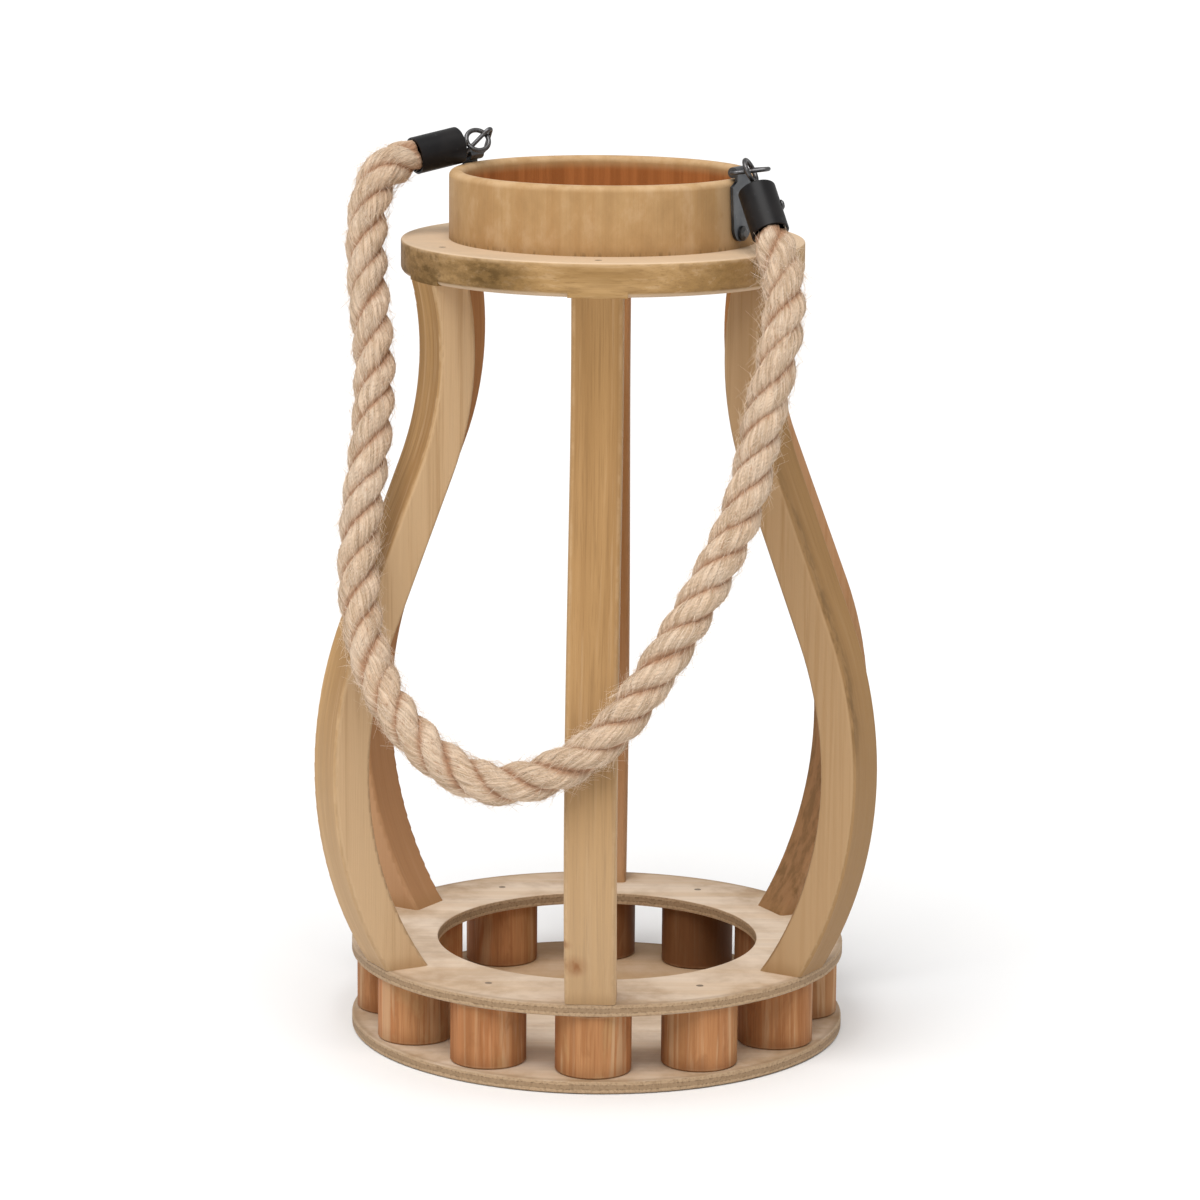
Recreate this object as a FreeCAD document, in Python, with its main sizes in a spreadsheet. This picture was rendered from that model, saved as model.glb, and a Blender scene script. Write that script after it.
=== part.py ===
import FreeCAD, Part
import math
import os
import Sketcher
from FreeCAD import Placement, Rotation, Vector

# Driving sizes in millimetres and degrees. Z is up, the lantern stands on z = 0 around the Z axis.
# A place around the lantern is a polar angle from +X, so -90 is the front.
SIZES = {
    # Base: two plywood rounds with pegs between them
    "disc_radius": 100,
    "ply_thickness": 5,
    "ply_edge_round": 0.6,
    "base_band": 35,
    "peg_radius": 15,
    "peg_height": 26,
    "peg_inset": 17,
    "peg_edge": 0.7,
    "peg_start": -90.8,
    # Ribs: an S of two arcs joined by a straight run, sawn from a board
    "rib_start": -91.4,
    "rib_width": 20,
    "rib_depth": 15.5,
    "rib_height": 272,
    "rib_edge_round": 1.6,
    "bulge_arc": 156,
    "bulge_drop": 55,
    "neck_arc": 110,
    "neck_drop": 27,
    # Top ring and collar
    "top_step": 20,
    "top_ring_thickness": 13.5,
    "top_ring_round": 3,
    "mouth_radius": 55,
    "collar_wall": 6,
    "collar_height": 27,
    "collar_rim_round": 2.4,
    # Screws and brads that hold the wood together
    "fit_clearance": 0.05,
    "brad_radius": 0.8,
    "brad_head_radius": 1.4,
    "brad_head_height": 0.6,
    "brad_length": 16,
    "top_brad_length": 38,
    "top_brad_inset": 9,
    "foot_screw_radius": 1.6,
    "foot_screw_head": 3.4,
    "foot_screw_length": 20,
    "foot_screw_inset": 5,
    # Strap plates on the collar, with a rolled knuckle for the link
    "handle_start": -29.5,
    "plate_width": 17,
    "plate_foot_width": 13,
    "plate_drop": 24,
    "plate_thickness": 1.2,
    "plate_gap": 0.05,
    "knuckle_rise": 2.8,
    "knuckle_width": 9.6,
    "knuckle_play": 0.09,
    "plate_screw_radius": 1.5,
    "plate_screw_head": 2.9,
    "plate_screw_head_height": 1.5,
    "plate_screw_length": 5.5,
    "plate_screw_drop": 21,
    # Triangular wire links
    "link_wire": 0.85,
    "link_base": 17,
    "link_reach": 15,
    "link_bend": 2,
    "right_link_lift": 8,
    "left_link_lift": 126,
    # Screw eyes on the links, caps on the rope's ends
    "eye_ring": 4.65,
    "eye_wire": 0.95,
    "eye_shank": 1.3,
    "eye_shank_length": 14,
    "right_eye_share": 0.5,
    "left_eye_share": 0.51,
    "right_eye_turn": 0,
    "left_eye_turn": -43,
    "right_cap_lean": 31,
    "right_cap_swing": -26,
    "left_cap_lean": 31,
    "left_cap_swing": 78,
    "cap_offset": 8.5,
    "cap_radius": 7.4,
    "cap_wall": 0.8,
    "cap_length": 20,
    "cap_edge_round": 0.7,
    "cap_screw_radius": 1.1,
    "cap_screw_head": 2,
    "cap_screw_head_height": 1.1,
    "cap_screw_length": 4.5,
    "cap_screw_place": 9,
    "right_cap_screw_turn": 27,
    "left_cap_screw_turn": 20,
    "rope_radius": 8,
    "rope_lead": 11,
}
PEG_COUNT = 12
RIB_COUNT = 6

# Route of the hanging rope between its two caps, chosen by hand: it hangs in front of the ribs
# and lies against the left-front rib and the front rib.
ROPE_ROUTE = [
    (-92, -1, 340),
    (-93.5, -11, 320.5),
    (-91.5, -22, 298),
    (-88.5, -33, 277),
    (-89, -47, 250),
    (-93, -59, 221),
    (-94, -69, 190),
    (-88, -86, 167),
    (-77, -104, 150),
    (-58, -118.5, 134),
    (-37, -126, 128),
    (-15, -130, 135.5),
    (5, -130.5, 149.5),
    (25, -126, 178.5),
    (42, -115.5, 207),
    (55, -102, 233),
    (61.5, -91, 266),
    (67, -84.5, 288),
    (70, -71, 309),
]

doc = FreeCAD.newDocument("hurricane_lantern")
sheet = doc.addObject("Spreadsheet::Sheet", "Sizes")
for row, (alias, value) in enumerate(SIZES.items(), start=1):
    sheet.set("A%d" % row, alias)
    sheet.set("B%d" % row, str(value))
    sheet.setAlias("B%d" % row, alias)
doc.recompute()

PARTS = []


def size(alias):
    """Value of one driving size."""
    return float(sheet.get(alias))


def bound(expression):
    """Expression text with each size's name led by the sheet's name."""
    words = expression
    for alias in sorted(SIZES, key=len, reverse=True):
        words = words.replace("{%s}" % alias, "Sizes.%s" % alias)
    return words


def worked_out(expression):
    """Number that an expression in sizes gives, used as a sketch's first guess."""
    return float(sheet.evalExpression(bound(expression)))


def part(node, thing):
    """Name a finished sub-part for its file."""
    thing.Label = node
    PARTS.append(thing)
    return thing


def new_body(name):
    return doc.addObject("PartDesign::Body", name)


def origin(body, role):
    return next(f for f in body.Origin.OriginFeatures if f.Role == role)


def new_sketch(body, name, plane):
    sketch = body.newObject("Sketcher::SketchObject", name)
    sketch.AttachmentSupport = [(origin(body, plane), "")]
    sketch.MapMode = "FlatFace"
    return sketch


def bind(sketch, kind, places, expression):
    """Add a dimension to a sketch and tie it to sizes."""
    index = sketch.addConstraint(Sketcher.Constraint(kind, *places, worked_out(expression)))
    sketch.setExpression("Constraints[%d]" % index, bound(expression))


def fix_point(sketch, geometry, end, x, y):
    """Place a point of a sketch by two expressions; "0" puts it on the axis."""
    if x == "0":
        sketch.addConstraint(Sketcher.Constraint("PointOnObject", geometry, end, -2))
    else:
        bind(sketch, "DistanceX", (-1, 1, geometry, end), x)
    if y == "0":
        sketch.addConstraint(Sketcher.Constraint("PointOnObject", geometry, end, -1))
    else:
        bind(sketch, "DistanceY", (-1, 1, geometry, end), y)


def draw_circle(sketch, radius, x="0", y="0"):
    centre = Vector(worked_out(x), worked_out(y), 0)
    index = sketch.addGeometry(Part.Circle(centre, Vector(0, 0, 1), worked_out(radius)))
    fix_point(sketch, index, 3, x, y)
    bind(sketch, "Radius", (index,), radius)
    return index


def draw_outline(sketch, corners):
    """Closed outline of straight lines through corners given as pairs of expressions."""
    points = [Vector(worked_out(x), worked_out(y), 0) for x, y in corners]
    lines = [Part.LineSegment(a, b) for a, b in zip(points, points[1:] + points[:1])]
    first = sketch.GeometryCount
    sketch.addGeometry(lines)
    count = len(corners)
    for i, (x, y) in enumerate(corners):
        following = first + (i + 1) % count
        sketch.addConstraint(Sketcher.Constraint("Coincident", first + i, 2, following, 1))
        fix_point(sketch, first + i, 1, x, y)


def draw_axis(sketch, start, finish):
    """Construction line to turn a profile about."""
    points = [Vector(worked_out(x), worked_out(y), 0) for x, y in (start, finish)]
    index = sketch.addGeometry(Part.LineSegment(*points), True)
    fix_point(sketch, index, 1, *start)
    fix_point(sketch, index, 2, *finish)


def extrude(body, sketch, length, kind="PartDesign::Pad", symmetric=False):
    feature = body.newObject(kind, sketch.Name + "_run")
    feature.Profile = sketch
    feature.setExpression("Length", bound(length))
    if symmetric:
        feature.SideType = "Symmetric"
    return feature


def turn(body, sketch, axis, kind="PartDesign::Revolution"):
    """Turn a sketch once round an axis of the body, or round its own drawn axis."""
    feature = body.newObject(kind, sketch.Name + "_turn")
    feature.Profile = sketch
    feature.ReferenceAxis = (sketch, ["Axis0"]) if axis == "own" else (origin(body, axis), [""])
    feature.Angle = 360
    return feature


def around(body, feature, count):
    """Repeat a feature evenly round the Z axis."""
    pattern = body.newObject("PartDesign::PolarPattern", feature.Name + "_round")
    pattern.Originals = [feature]
    pattern.Axis = (origin(body, "Z_Axis"), [""])
    pattern.Angle = 360
    pattern.Occurrences = count
    body.Tip = pattern
    return pattern


def soften(body, feature, name, radius, chosen, kind="PartDesign::Fillet"):
    """Round or bevel the edges of a feature that a test picks."""
    doc.recompute()
    names = ["Edge%d" % i for i, edge in enumerate(feature.Shape.Edges, start=1) if chosen(edge)]
    dressed = body.newObject(kind, name)
    dressed.Base = (feature, names)
    dressed.setExpression("Radius" if kind.endswith("Fillet") else "Size", bound(radius))
    return dressed


def place(thing, z="0", spin="0", x="0", y="0"):
    """Tie a sub-part's place and its turn about Z to sizes."""
    for axis, expression in (("x", x), ("y", y), ("z", z)):
        thing.setExpression("Placement.Base." + axis, bound(expression))
    thing.setExpression("Placement.Rotation.Angle", bound(spin))
    thing.Placement.Rotation.Axis = Vector(0, 0, 1)


def is_circle(edge, radius=None, z=None):
    """True for an edge on a circle about the Z axis of that radius and height."""
    if not isinstance(edge.Curve, Part.Circle):
        return False
    centre = edge.Curve.Center
    if math.hypot(centre.x, centre.y) > 1e-4:
        return False
    right_size = radius is None or abs(edge.Curve.Radius - radius) < 1e-4
    return right_size and (z is None or abs(centre.z - z) < 1e-4)


# Heights that several pieces share
RING_TOP = "2 * {ply_thickness} + {peg_height}"
RING_BOTTOM = "{ply_thickness} + {peg_height}"
RIB_TOP = RING_TOP + " + {rib_height}"
DECK_TOP = RIB_TOP + " + {top_ring_thickness}"
RIM_TOP = DECK_TOP + " + {collar_height}"
COLLAR_RADIUS = "({mouth_radius} + {collar_wall})"
BULGE_HEIGHT = "({rib_height} / 2 - {bulge_drop})"
# Circles that follow the base's edge
WELL_RADIUS = "({disc_radius} - {base_band})"
PEG_CIRCLE = "({disc_radius} - {peg_inset})"
FOOT_SCREW_CIRCLE = "({disc_radius} - {foot_screw_inset})"
TOP_RADIUS = "({disc_radius} - {top_step})"
TOP_BRAD_CIRCLE = "({disc_radius} - {top_step} - {top_brad_inset})"


# Fasteners: each profile is used for the fastener and, with a clearance, for its holes

def brad_profile(head_z, length, way, gap):
    """Half section of a brad as (distance from its axis, height); way is +1 for a point that is up."""
    wide, thin = "{brad_head_radius} + " + gap, "{brad_radius} + " + gap
    sign = "+" if way > 0 else "-"
    return [
        ("0", head_z),
        (wide, head_z),
        (wide, "%s %s {brad_head_height}" % (head_z, sign)),
        (thin, "%s %s {brad_head_height}" % (head_z, sign)),
        (thin, "%s %s (%s - 2 * {brad_radius})" % (head_z, sign, length)),
        ("0", "%s %s (%s + %s)" % (head_z, sign, length, gap)),
    ]


def foot_screw_profile(head_z, gap):
    """Half section of a countersunk wood screw driven upward."""
    wide, thin = "{foot_screw_head} + " + gap, "{foot_screw_radius} + " + gap
    return [
        ("0", head_z),
        (wide, head_z),
        (thin, head_z + " + {foot_screw_head} - {foot_screw_radius}"),
        (thin, head_z + " + {foot_screw_length} - 2 * {foot_screw_radius}"),
        ("0", head_z + " + {foot_screw_length} + " + gap),
    ]


def draw_upright(sketch, circle, profile):
    """Half section of an upright fastener that stands at a distance from the Z axis."""
    draw_axis(sketch, (circle, profile[0][1]), (circle, profile[-1][1]))
    draw_outline(sketch, [(circle if x == "0" else circle + " + " + x, y) for x, y in profile])


def upright_group(node, circle, profile, count, start):
    """Group of equal upright fasteners round the lantern."""
    body = new_body(node)
    sketch = new_sketch(body, node + "_section", "XZ_Plane")
    draw_upright(sketch, circle, profile)
    around(body, turn(body, sketch, "own"), count)
    place(body, spin=start)
    return part(node, body)


def upright_holes(body, name, circle, profile, count):
    """Holes for such a group in a piece; the piece is turned with the group."""
    sketch = new_sketch(body, name, "XZ_Plane")
    draw_upright(sketch, circle, profile)
    hole = turn(body, sketch, "own", "PartDesign::Groove")
    return around(body, hole, count) if count > 1 else hole


GAP = "{fit_clearance}"
BETWEEN = "{peg_start} + 180 / %d" % RIB_COUNT


# Base

def base_disc():
    body = new_body("base_disc")
    sketch = new_sketch(body, "disc_outline", "XY_Plane")
    draw_circle(sketch, "{disc_radius}")
    pad = extrude(body, sketch, "{ply_thickness}")
    soften(body, pad, "disc_edge", "{ply_edge_round}", lambda e: is_circle(e, size("disc_radius")))
    profile = brad_profile("0", "{brad_length}", 1, GAP)
    upright_holes(body, "disc_brad_hole", PEG_CIRCLE, profile, PEG_COUNT)
    place(body, spin="{peg_start}")
    part("base_disc", body)
    upright_group("lower_brads", PEG_CIRCLE, brad_profile("0", "{brad_length}", 1, "0"),
                  PEG_COUNT, "{peg_start}")


def pegs():
    for i in range(PEG_COUNT):
        node = "peg_%02d" % (i + 1)
        body = new_body(node)
        sketch = new_sketch(body, node + "_outline", "XY_Plane")
        draw_circle(sketch, "{peg_radius}")
        pad = extrude(body, sketch, "{peg_height}")
        soften(body, pad, node + "_bevel", "{peg_edge}", is_circle, "PartDesign::Chamfer")
        lower = brad_profile("-{ply_thickness}", "{brad_length}", 1, GAP)
        upright_holes(body, node + "_lower_hole", "0", lower, 1)
        if i % 2:
            top = "{peg_height} + {ply_thickness}"
            upper = brad_profile(top, "{brad_length}", -1, GAP)
            upright_holes(body, node + "_upper_hole", "0", upper, 1)
        spin = "{peg_start} + %g" % (360 * i / PEG_COUNT)
        place(body, z="{ply_thickness}", spin=spin,
              x=PEG_CIRCLE + " * cos(%s)" % spin, y=PEG_CIRCLE + " * sin(%s)" % spin)
        part(node, body)


def base_ring():
    body = new_body("base_ring")
    sketch = new_sketch(body, "ring_outline", "XY_Plane")
    draw_circle(sketch, "{disc_radius}")
    draw_circle(sketch, WELL_RADIUS)
    pad = extrude(body, sketch, "{ply_thickness}")
    soften(body, pad, "ring_edge", "{ply_edge_round}", is_circle)
    screws = foot_screw_profile("0", GAP)
    upright_holes(body, "ring_screw_hole", FOOT_SCREW_CIRCLE, screws, RIB_COUNT)
    brads = new_sketch(body, "ring_brad_hole", "XY_Plane")
    turned = "({peg_start} - {rib_start} + 180 / %d)" % RIB_COUNT
    draw_circle(brads, "{brad_head_radius} + " + GAP,
                PEG_CIRCLE + " * cos(%s)" % turned, PEG_CIRCLE + " * sin(%s)" % turned)
    hole = extrude(body, brads, "{ply_thickness}", "PartDesign::Pocket")
    hole.Reversed = True
    around(body, hole, RIB_COUNT)
    place(body, z=RING_BOTTOM, spin="{rib_start}")
    part("base_ring", body)
    upright_group("upper_brads", PEG_CIRCLE, brad_profile(RING_TOP, "{brad_length}", -1, "0"),
                  RIB_COUNT, BETWEEN)
    upright_group("foot_screws", FOOT_SCREW_CIRCLE, foot_screw_profile(RING_BOTTOM, "0"),
                  RIB_COUNT, "{rib_start}")


# Ribs

def draw_rib(sketch):
    """S-shaped side outline: x is the distance from the lantern's axis, y the height above the foot."""
    bulge, neck, depth = size("bulge_arc"), size("neck_arc"), size("rib_depth")
    height, foot, top = size("rib_height"), size("disc_radius"), worked_out(TOP_RADIUS)
    low, high = worked_out(BULGE_HEIGHT), height - size("neck_drop")
    inside = Vector(foot - math.sqrt(bulge ** 2 - low ** 2), low, 0)
    outside = Vector(top + math.sqrt(neck ** 2 - (height - high) ** 2), high, 0)
    apart = outside - inside
    slope = math.atan2(apart.y, apart.x) - math.acos((bulge + neck) / apart.Length)

    def arc(centre, radius, start, finish):
        circle = Part.Circle(centre, Vector(0, 0, 1), radius)
        return Part.ArcOfCircle(circle, start, finish)

    def on(centre, radius, angle):
        return centre + Vector(radius * math.cos(angle), radius * math.sin(angle), 0)

    inner_bulge, inner_neck = bulge - depth, neck + depth
    back = slope + math.pi
    foot_angles = [math.asin(-low / r) for r in (bulge, inner_bulge)]
    top_angles = [math.pi - math.asin((height - high) / r) for r in (neck, inner_neck)]
    shapes = [
        arc(inside, bulge, foot_angles[0], slope),
        Part.LineSegment(on(inside, bulge, slope), on(outside, neck, back)),
        arc(outside, neck, top_angles[0], back),
        Part.LineSegment(on(outside, neck, top_angles[0]), on(outside, inner_neck, top_angles[1])),
        arc(outside, inner_neck, top_angles[1], back),
        Part.LineSegment(on(outside, inner_neck, back), on(inside, inner_bulge, slope)),
        arc(inside, inner_bulge, foot_angles[1], slope),
        Part.LineSegment(on(inside, inner_bulge, foot_angles[1]), on(inside, bulge, foot_angles[0])),
    ]
    sketch.addGeometry(shapes)
    join = [
        ("Tangent", 0, 2, 1, 1),
        ("Tangent", 1, 2, 2, 2),
        ("Coincident", 2, 1, 3, 1),
        ("Coincident", 3, 2, 4, 1),
        ("Tangent", 4, 2, 5, 1),
        ("Tangent", 5, 2, 6, 2),
        ("Coincident", 6, 1, 7, 1),
        ("Coincident", 7, 2, 0, 1),
        ("Coincident", 0, 3, 6, 3),
        ("Coincident", 2, 3, 4, 3),
        ("Horizontal", 3),
        ("PointOnObject", 7, 1, -1),
        ("PointOnObject", 7, 2, -1),
    ]
    for kind, *places in join:
        sketch.addConstraint(Sketcher.Constraint(kind, *places))
    bind(sketch, "DistanceX", (-1, 1, 0, 1), "{disc_radius}")
    bind(sketch, "DistanceY", (-1, 1, 0, 3), BULGE_HEIGHT)
    bind(sketch, "Radius", (0,), "{bulge_arc}")
    bind(sketch, "DistanceX", (-1, 1, 2, 1), TOP_RADIUS)
    bind(sketch, "DistanceY", (-1, 1, 2, 1), "{rib_height}")
    bind(sketch, "DistanceY", (-1, 1, 2, 3), "{rib_height} - {neck_drop}")
    bind(sketch, "Radius", (2,), "{neck_arc}")
    bind(sketch, "Radius", (4,), "{neck_arc} + {rib_depth}")
    bind(sketch, "Radius", (6,), "{bulge_arc} - {rib_depth}")


def runs_along(edge):
    """True for an edge that runs up a rib's side, not round its foot or top."""
    heights = [v.Z for v in edge.Vertexes]
    sideways = [abs(v.Y) for v in edge.Vertexes]
    level = abs(heights[0] - heights[-1]) < 1e-4
    return not level and min(sideways) > 1e-4


def ribs():
    for i in range(RIB_COUNT):
        node = "rib_%d" % (i + 1)
        body = new_body(node)
        sketch = new_sketch(body, node + "_outline", "XZ_Plane")
        draw_rib(sketch)
        pad = extrude(body, sketch, "{rib_width}", symmetric=True)
        soften(body, pad, node + "_edges", "{rib_edge_round}", runs_along)
        screw = foot_screw_profile("-{ply_thickness}", GAP)
        upright_holes(body, node + "_screw_hole", FOOT_SCREW_CIRCLE, screw, 1)
        brad = brad_profile("{rib_height} + {top_ring_thickness}", "{top_brad_length}", -1, GAP)
        upright_holes(body, node + "_brad_hole", TOP_BRAD_CIRCLE, brad, 1)
        place(body, z=RING_TOP, spin="{rib_start} + %g" % (360 * i / RIB_COUNT))
        part(node, body)


# Top

def top_ring():
    """Turned ring whose lower edge is rounded over between the ribs."""
    body = new_body("top_ring")
    sketch = new_sketch(body, "deck_outline", "XY_Plane")
    draw_circle(sketch, TOP_RADIUS)
    draw_circle(sketch, "{mouth_radius}")
    pad = extrude(body, sketch, "{top_ring_thickness}")
    rim = size("top_ring_thickness")
    soften(body, pad, "deck_edge", "{top_ring_round} / 3",
           lambda e: is_circle(e, worked_out(TOP_RADIUS), rim))
    corner = new_sketch(body, "deck_under_edge", "XZ_Plane")
    radius, reach = size("top_ring_round"), worked_out(TOP_RADIUS)
    corner.addGeometry([
        Part.LineSegment(Vector(reach - radius, 0, 0), Vector(reach, 0, 0)),
        Part.LineSegment(Vector(reach, 0, 0), Vector(reach, radius, 0)),
        Part.ArcOfCircle(Part.Circle(Vector(reach - radius, radius, 0), Vector(0, 0, 1), radius),
                         -math.pi / 2, 0),
    ])
    for a, end, b, start in ((0, 2, 1, 1), (1, 2, 2, 2), (2, 1, 0, 1)):
        corner.addConstraint(Sketcher.Constraint("Coincident", a, end, b, start))
    fix_point(corner, 0, 1, TOP_RADIUS + " - {top_ring_round}", "0")
    fix_point(corner, 1, 1, TOP_RADIUS, "0")
    fix_point(corner, 1, 2, TOP_RADIUS, "{top_ring_round}")
    bind(corner, "Radius", (2,), "{top_ring_round}")
    under = body.newObject("PartDesign::Groove", "deck_under_edge_cut")
    under.Profile = corner
    under.ReferenceAxis = (origin(body, "Z_Axis"), [""])
    under.Midplane = True
    under.setExpression("Angle", bound("360 deg / %d - 2 * asin(({rib_width} + {top_ring_round}) / 2"
                                       " / %s)" % (RIB_COUNT, TOP_RADIUS)))
    around(body, under, RIB_COUNT)
    brads = new_sketch(body, "deck_brad_hole", "XY_Plane")
    angle = "180 / %d" % RIB_COUNT
    draw_circle(brads, "{brad_head_radius} + " + GAP,
                TOP_BRAD_CIRCLE + " * cos(%s)" % angle, TOP_BRAD_CIRCLE + " * sin(%s)" % angle)
    hole = extrude(body, brads, "{top_ring_thickness}", "PartDesign::Pocket")
    hole.Reversed = True
    around(body, hole, RIB_COUNT)
    place(body, z=RIB_TOP, spin="{rib_start} + 180 / %d" % RIB_COUNT)
    part("top_ring", body)
    upright_group("top_brads", TOP_BRAD_CIRCLE,
                  brad_profile(DECK_TOP, "{top_brad_length}", -1, "0"), RIB_COUNT, "{rib_start}")


def collar():
    body = new_body("collar")
    sketch = new_sketch(body, "collar_outline", "XY_Plane")
    draw_circle(sketch, COLLAR_RADIUS)
    draw_circle(sketch, "{mouth_radius}")
    pad = extrude(body, sketch, "{collar_height}")
    rim = size("collar_height")
    rounded = soften(body, pad, "collar_rim", "{collar_rim_round}", lambda e: is_circle(e, z=rim))
    screw = new_sketch(body, "collar_screw_hole", "XZ_Plane")
    draw_level(screw, plate_screw_profile(GAP), "{collar_height} - {plate_screw_drop}")
    around(body, turn(body, screw, "own", "PartDesign::Groove"), 2)
    place(body, z=DECK_TOP, spin="{handle_start}")
    part("collar", body)


# Handle fittings: strap plate, wire link, screw eye and cap on each side

SEAT = COLLAR_RADIUS + " + {plate_gap}"
PLATE_FACE = SEAT + " + {plate_thickness}"
BORE = "({link_wire} + {knuckle_play})"
KNUCKLE_X = SEAT + " - " + BORE
SIDES = {"right": (0, -1), "left": (180, 1)}


def plate_screw_profile(gap):
    """Half section of a round-head screw as (distance from the lantern's axis, distance from its own)."""
    wide, thin = "{plate_screw_head} + " + gap, "{plate_screw_radius} + " + gap
    crown = PLATE_FACE + " + {plate_screw_head_height}"
    tip = PLATE_FACE + " - {plate_screw_length}"
    return [
        (crown, "0"),
        (crown, "0.5 * {plate_screw_head}"),
        (PLATE_FACE + " + 0.5 * {plate_screw_head_height}", wide),
        (PLATE_FACE, wide),
        (PLATE_FACE, thin),
        (tip + " + {plate_screw_radius}", thin),
        (tip + " - " + gap, "0"),
    ]


def draw_level(sketch, profile, height):
    """Half section of a level fastener whose axis lies at a height."""
    draw_axis(sketch, (profile[0][0], height), (profile[-1][0], height))
    draw_outline(sketch, [(x, height if y == "0" else height + " + " + y) for x, y in profile])


def plate(side):
    node = side + "_plate"
    body = new_body(node)
    strap = new_sketch(body, node + "_outline", "YZ_Plane")
    strap.setExpression("AttachmentOffset.Base.z", bound(SEAT))
    half, foot, roll = "{plate_width} / 2", "{plate_foot_width} / 2", "{knuckle_width} / 2"
    right_half = [
        (foot, "-{plate_drop}"),
        (half, "-2 * {plate_thickness}"),
        (roll, "-{plate_thickness} / 2"),
        (roll, "{knuckle_rise} - %s / 2" % BORE),
    ]
    left_half = [("-" + x, y) for x, y in reversed(right_half)]
    draw_outline(strap, right_half + left_half)
    pad = extrude(body, strap, "{plate_thickness}")
    drop = -size("plate_drop")

    def low_corner(edge):
        ends = [v.Point for v in edge.Vertexes]
        return all(abs(p.z - drop) < 1e-4 for p in ends) and abs(ends[0].x - ends[-1].x) > 1e-4

    soften(body, pad, node + "_toe", "0.46 * {plate_foot_width}", low_corner)
    knuckle = new_sketch(body, node + "_knuckle", "XZ_Plane")
    draw_circle(knuckle, BORE + " + {plate_thickness}", KNUCKLE_X, "{knuckle_rise}")
    draw_circle(knuckle, BORE, KNUCKLE_X, "{knuckle_rise}")
    extrude(body, knuckle, "{knuckle_width}", symmetric=True)
    screw = new_sketch(body, node + "_hole", "XZ_Plane")
    draw_level(screw, plate_screw_profile(GAP), "-{plate_screw_drop}")
    turn(body, screw, "own", "PartDesign::Groove")
    place(body, z=RIM_TOP, spin="{handle_start} + %d" % SIDES[side][0])
    part(node, body)


def plate_screws():
    body = new_body("plate_screws")
    sketch = new_sketch(body, "plate_screw_section", "XZ_Plane")
    draw_level(sketch, plate_screw_profile("0"), "-{plate_screw_drop}")
    around(body, turn(body, sketch, "own"), 2)
    place(body, z=RIM_TOP, spin="{handle_start}")
    part("plate_screws", body)


def draw_link(sketch):
    """Half of the triangular link's path, from the middle of its base on the Y axis to its tip."""
    half, reach, bend = size("link_base") / 2, size("link_reach"), size("link_bend")
    shoulder, tip = Vector(0, half, 0), Vector(reach, 0, 0)
    side = (tip - shoulder).normalize()
    lean = math.atan2(reach, half)
    run = bend / math.tan(lean / 2)
    heel = Vector(bend, half - run, 0)
    toe = Vector(reach - bend / math.cos(lean), 0, 0)
    across = Vector(-side.y, side.x, 0) * bend
    sketch.addGeometry([
        Part.LineSegment(Vector(0, 0, 0), Vector(0, half - run, 0)),
        Part.ArcOfCircle(Part.Circle(heel, Vector(0, 0, 1), bend), math.atan2(across.y, across.x), math.pi),
        Part.LineSegment(heel + across, toe + across),
        Part.ArcOfCircle(Part.Circle(toe, Vector(0, 0, 1), bend), 0, math.atan2(across.y, across.x)),
        Part.Point(shoulder),
        Part.Point(tip),
    ])
    join = [
        ("Coincident", 0, 1, -1, 1),
        ("PointOnObject", 0, 2, -2),
        ("Tangent", 0, 2, 1, 2),
        ("Tangent", 1, 1, 2, 1),
        ("Tangent", 2, 2, 3, 2),
        ("PointOnObject", 3, 1, -1),
        ("PointOnObject", 3, 3, -1),
        ("PointOnObject", 4, 1, 2),
        ("PointOnObject", 5, 1, 2),
    ]
    for kind, *places in join:
        sketch.addConstraint(Sketcher.Constraint(kind, *places))
    for mark in (4, 5):
        sketch.toggleConstruction(mark)
    fix_point(sketch, 4, 1, "0", "{link_base} / 2")
    fix_point(sketch, 5, 1, "{link_reach}", "0")
    for arc in (1, 3):
        bind(sketch, "Radius", (arc,), "{link_bend}")


def link_placement(side):
    half_turn, way = SIDES[side]
    angle = size("handle_start") + half_turn
    reach, height = worked_out(KNUCKLE_X), worked_out(RIM_TOP + " + {knuckle_rise}")
    spin = Rotation(Vector(0, 0, 1), angle)
    centre = spin.multVec(Vector(reach, 0, height))
    return Placement(centre, spin * Rotation(Vector(0, 1, 0), -size(side + "_link_lift")))


def link(side):
    node = side + "_link"
    body = new_body(node)
    path = new_sketch(body, node + "_path", "XY_Plane")
    draw_link(path)
    wire = new_sketch(body, node + "_wire", "XZ_Plane")
    draw_circle(wire, "{link_wire}")
    pipe = body.newObject("PartDesign::AdditivePipe", node + "_pipe")
    pipe.Profile = wire
    pipe.Spine = path
    mirror = body.newObject("PartDesign::Mirrored", node + "_other_half")
    mirror.Originals = [pipe]
    mirror.MirrorPlane = (origin(body, "XZ_Plane"), [""])
    body.Tip = mirror
    body.Placement = link_placement(side)
    part(node, body)


def eye_placement(side):
    """The eye hangs on the link's near side wire; its shank and the cap point down the local Z axis."""
    half_turn, way = SIDES[side]
    share = size(side + "_eye_share")
    spot = Vector(size("link_reach") * share, way * size("link_base") / 2 * (1 - share), 0)
    spin = Rotation(Vector(0, 0, 1), size("handle_start") + half_turn)
    swing = Rotation(Vector(1, 0, 0), size(side + "_cap_swing"))
    lean = Rotation(Vector(0, 1, 0), -size(side + "_cap_lean"))
    about = Rotation(Vector(0, 0, 1), size(side + "_eye_turn"))
    return Placement(link_placement(side).multVec(spot), spin * swing * lean * about)


def cap_placement(side):
    about = Rotation(Vector(0, 0, 1), size(side + "_cap_screw_turn"))
    return eye_placement(side) * Placement(Vector(0, 0, 0), about)


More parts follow.
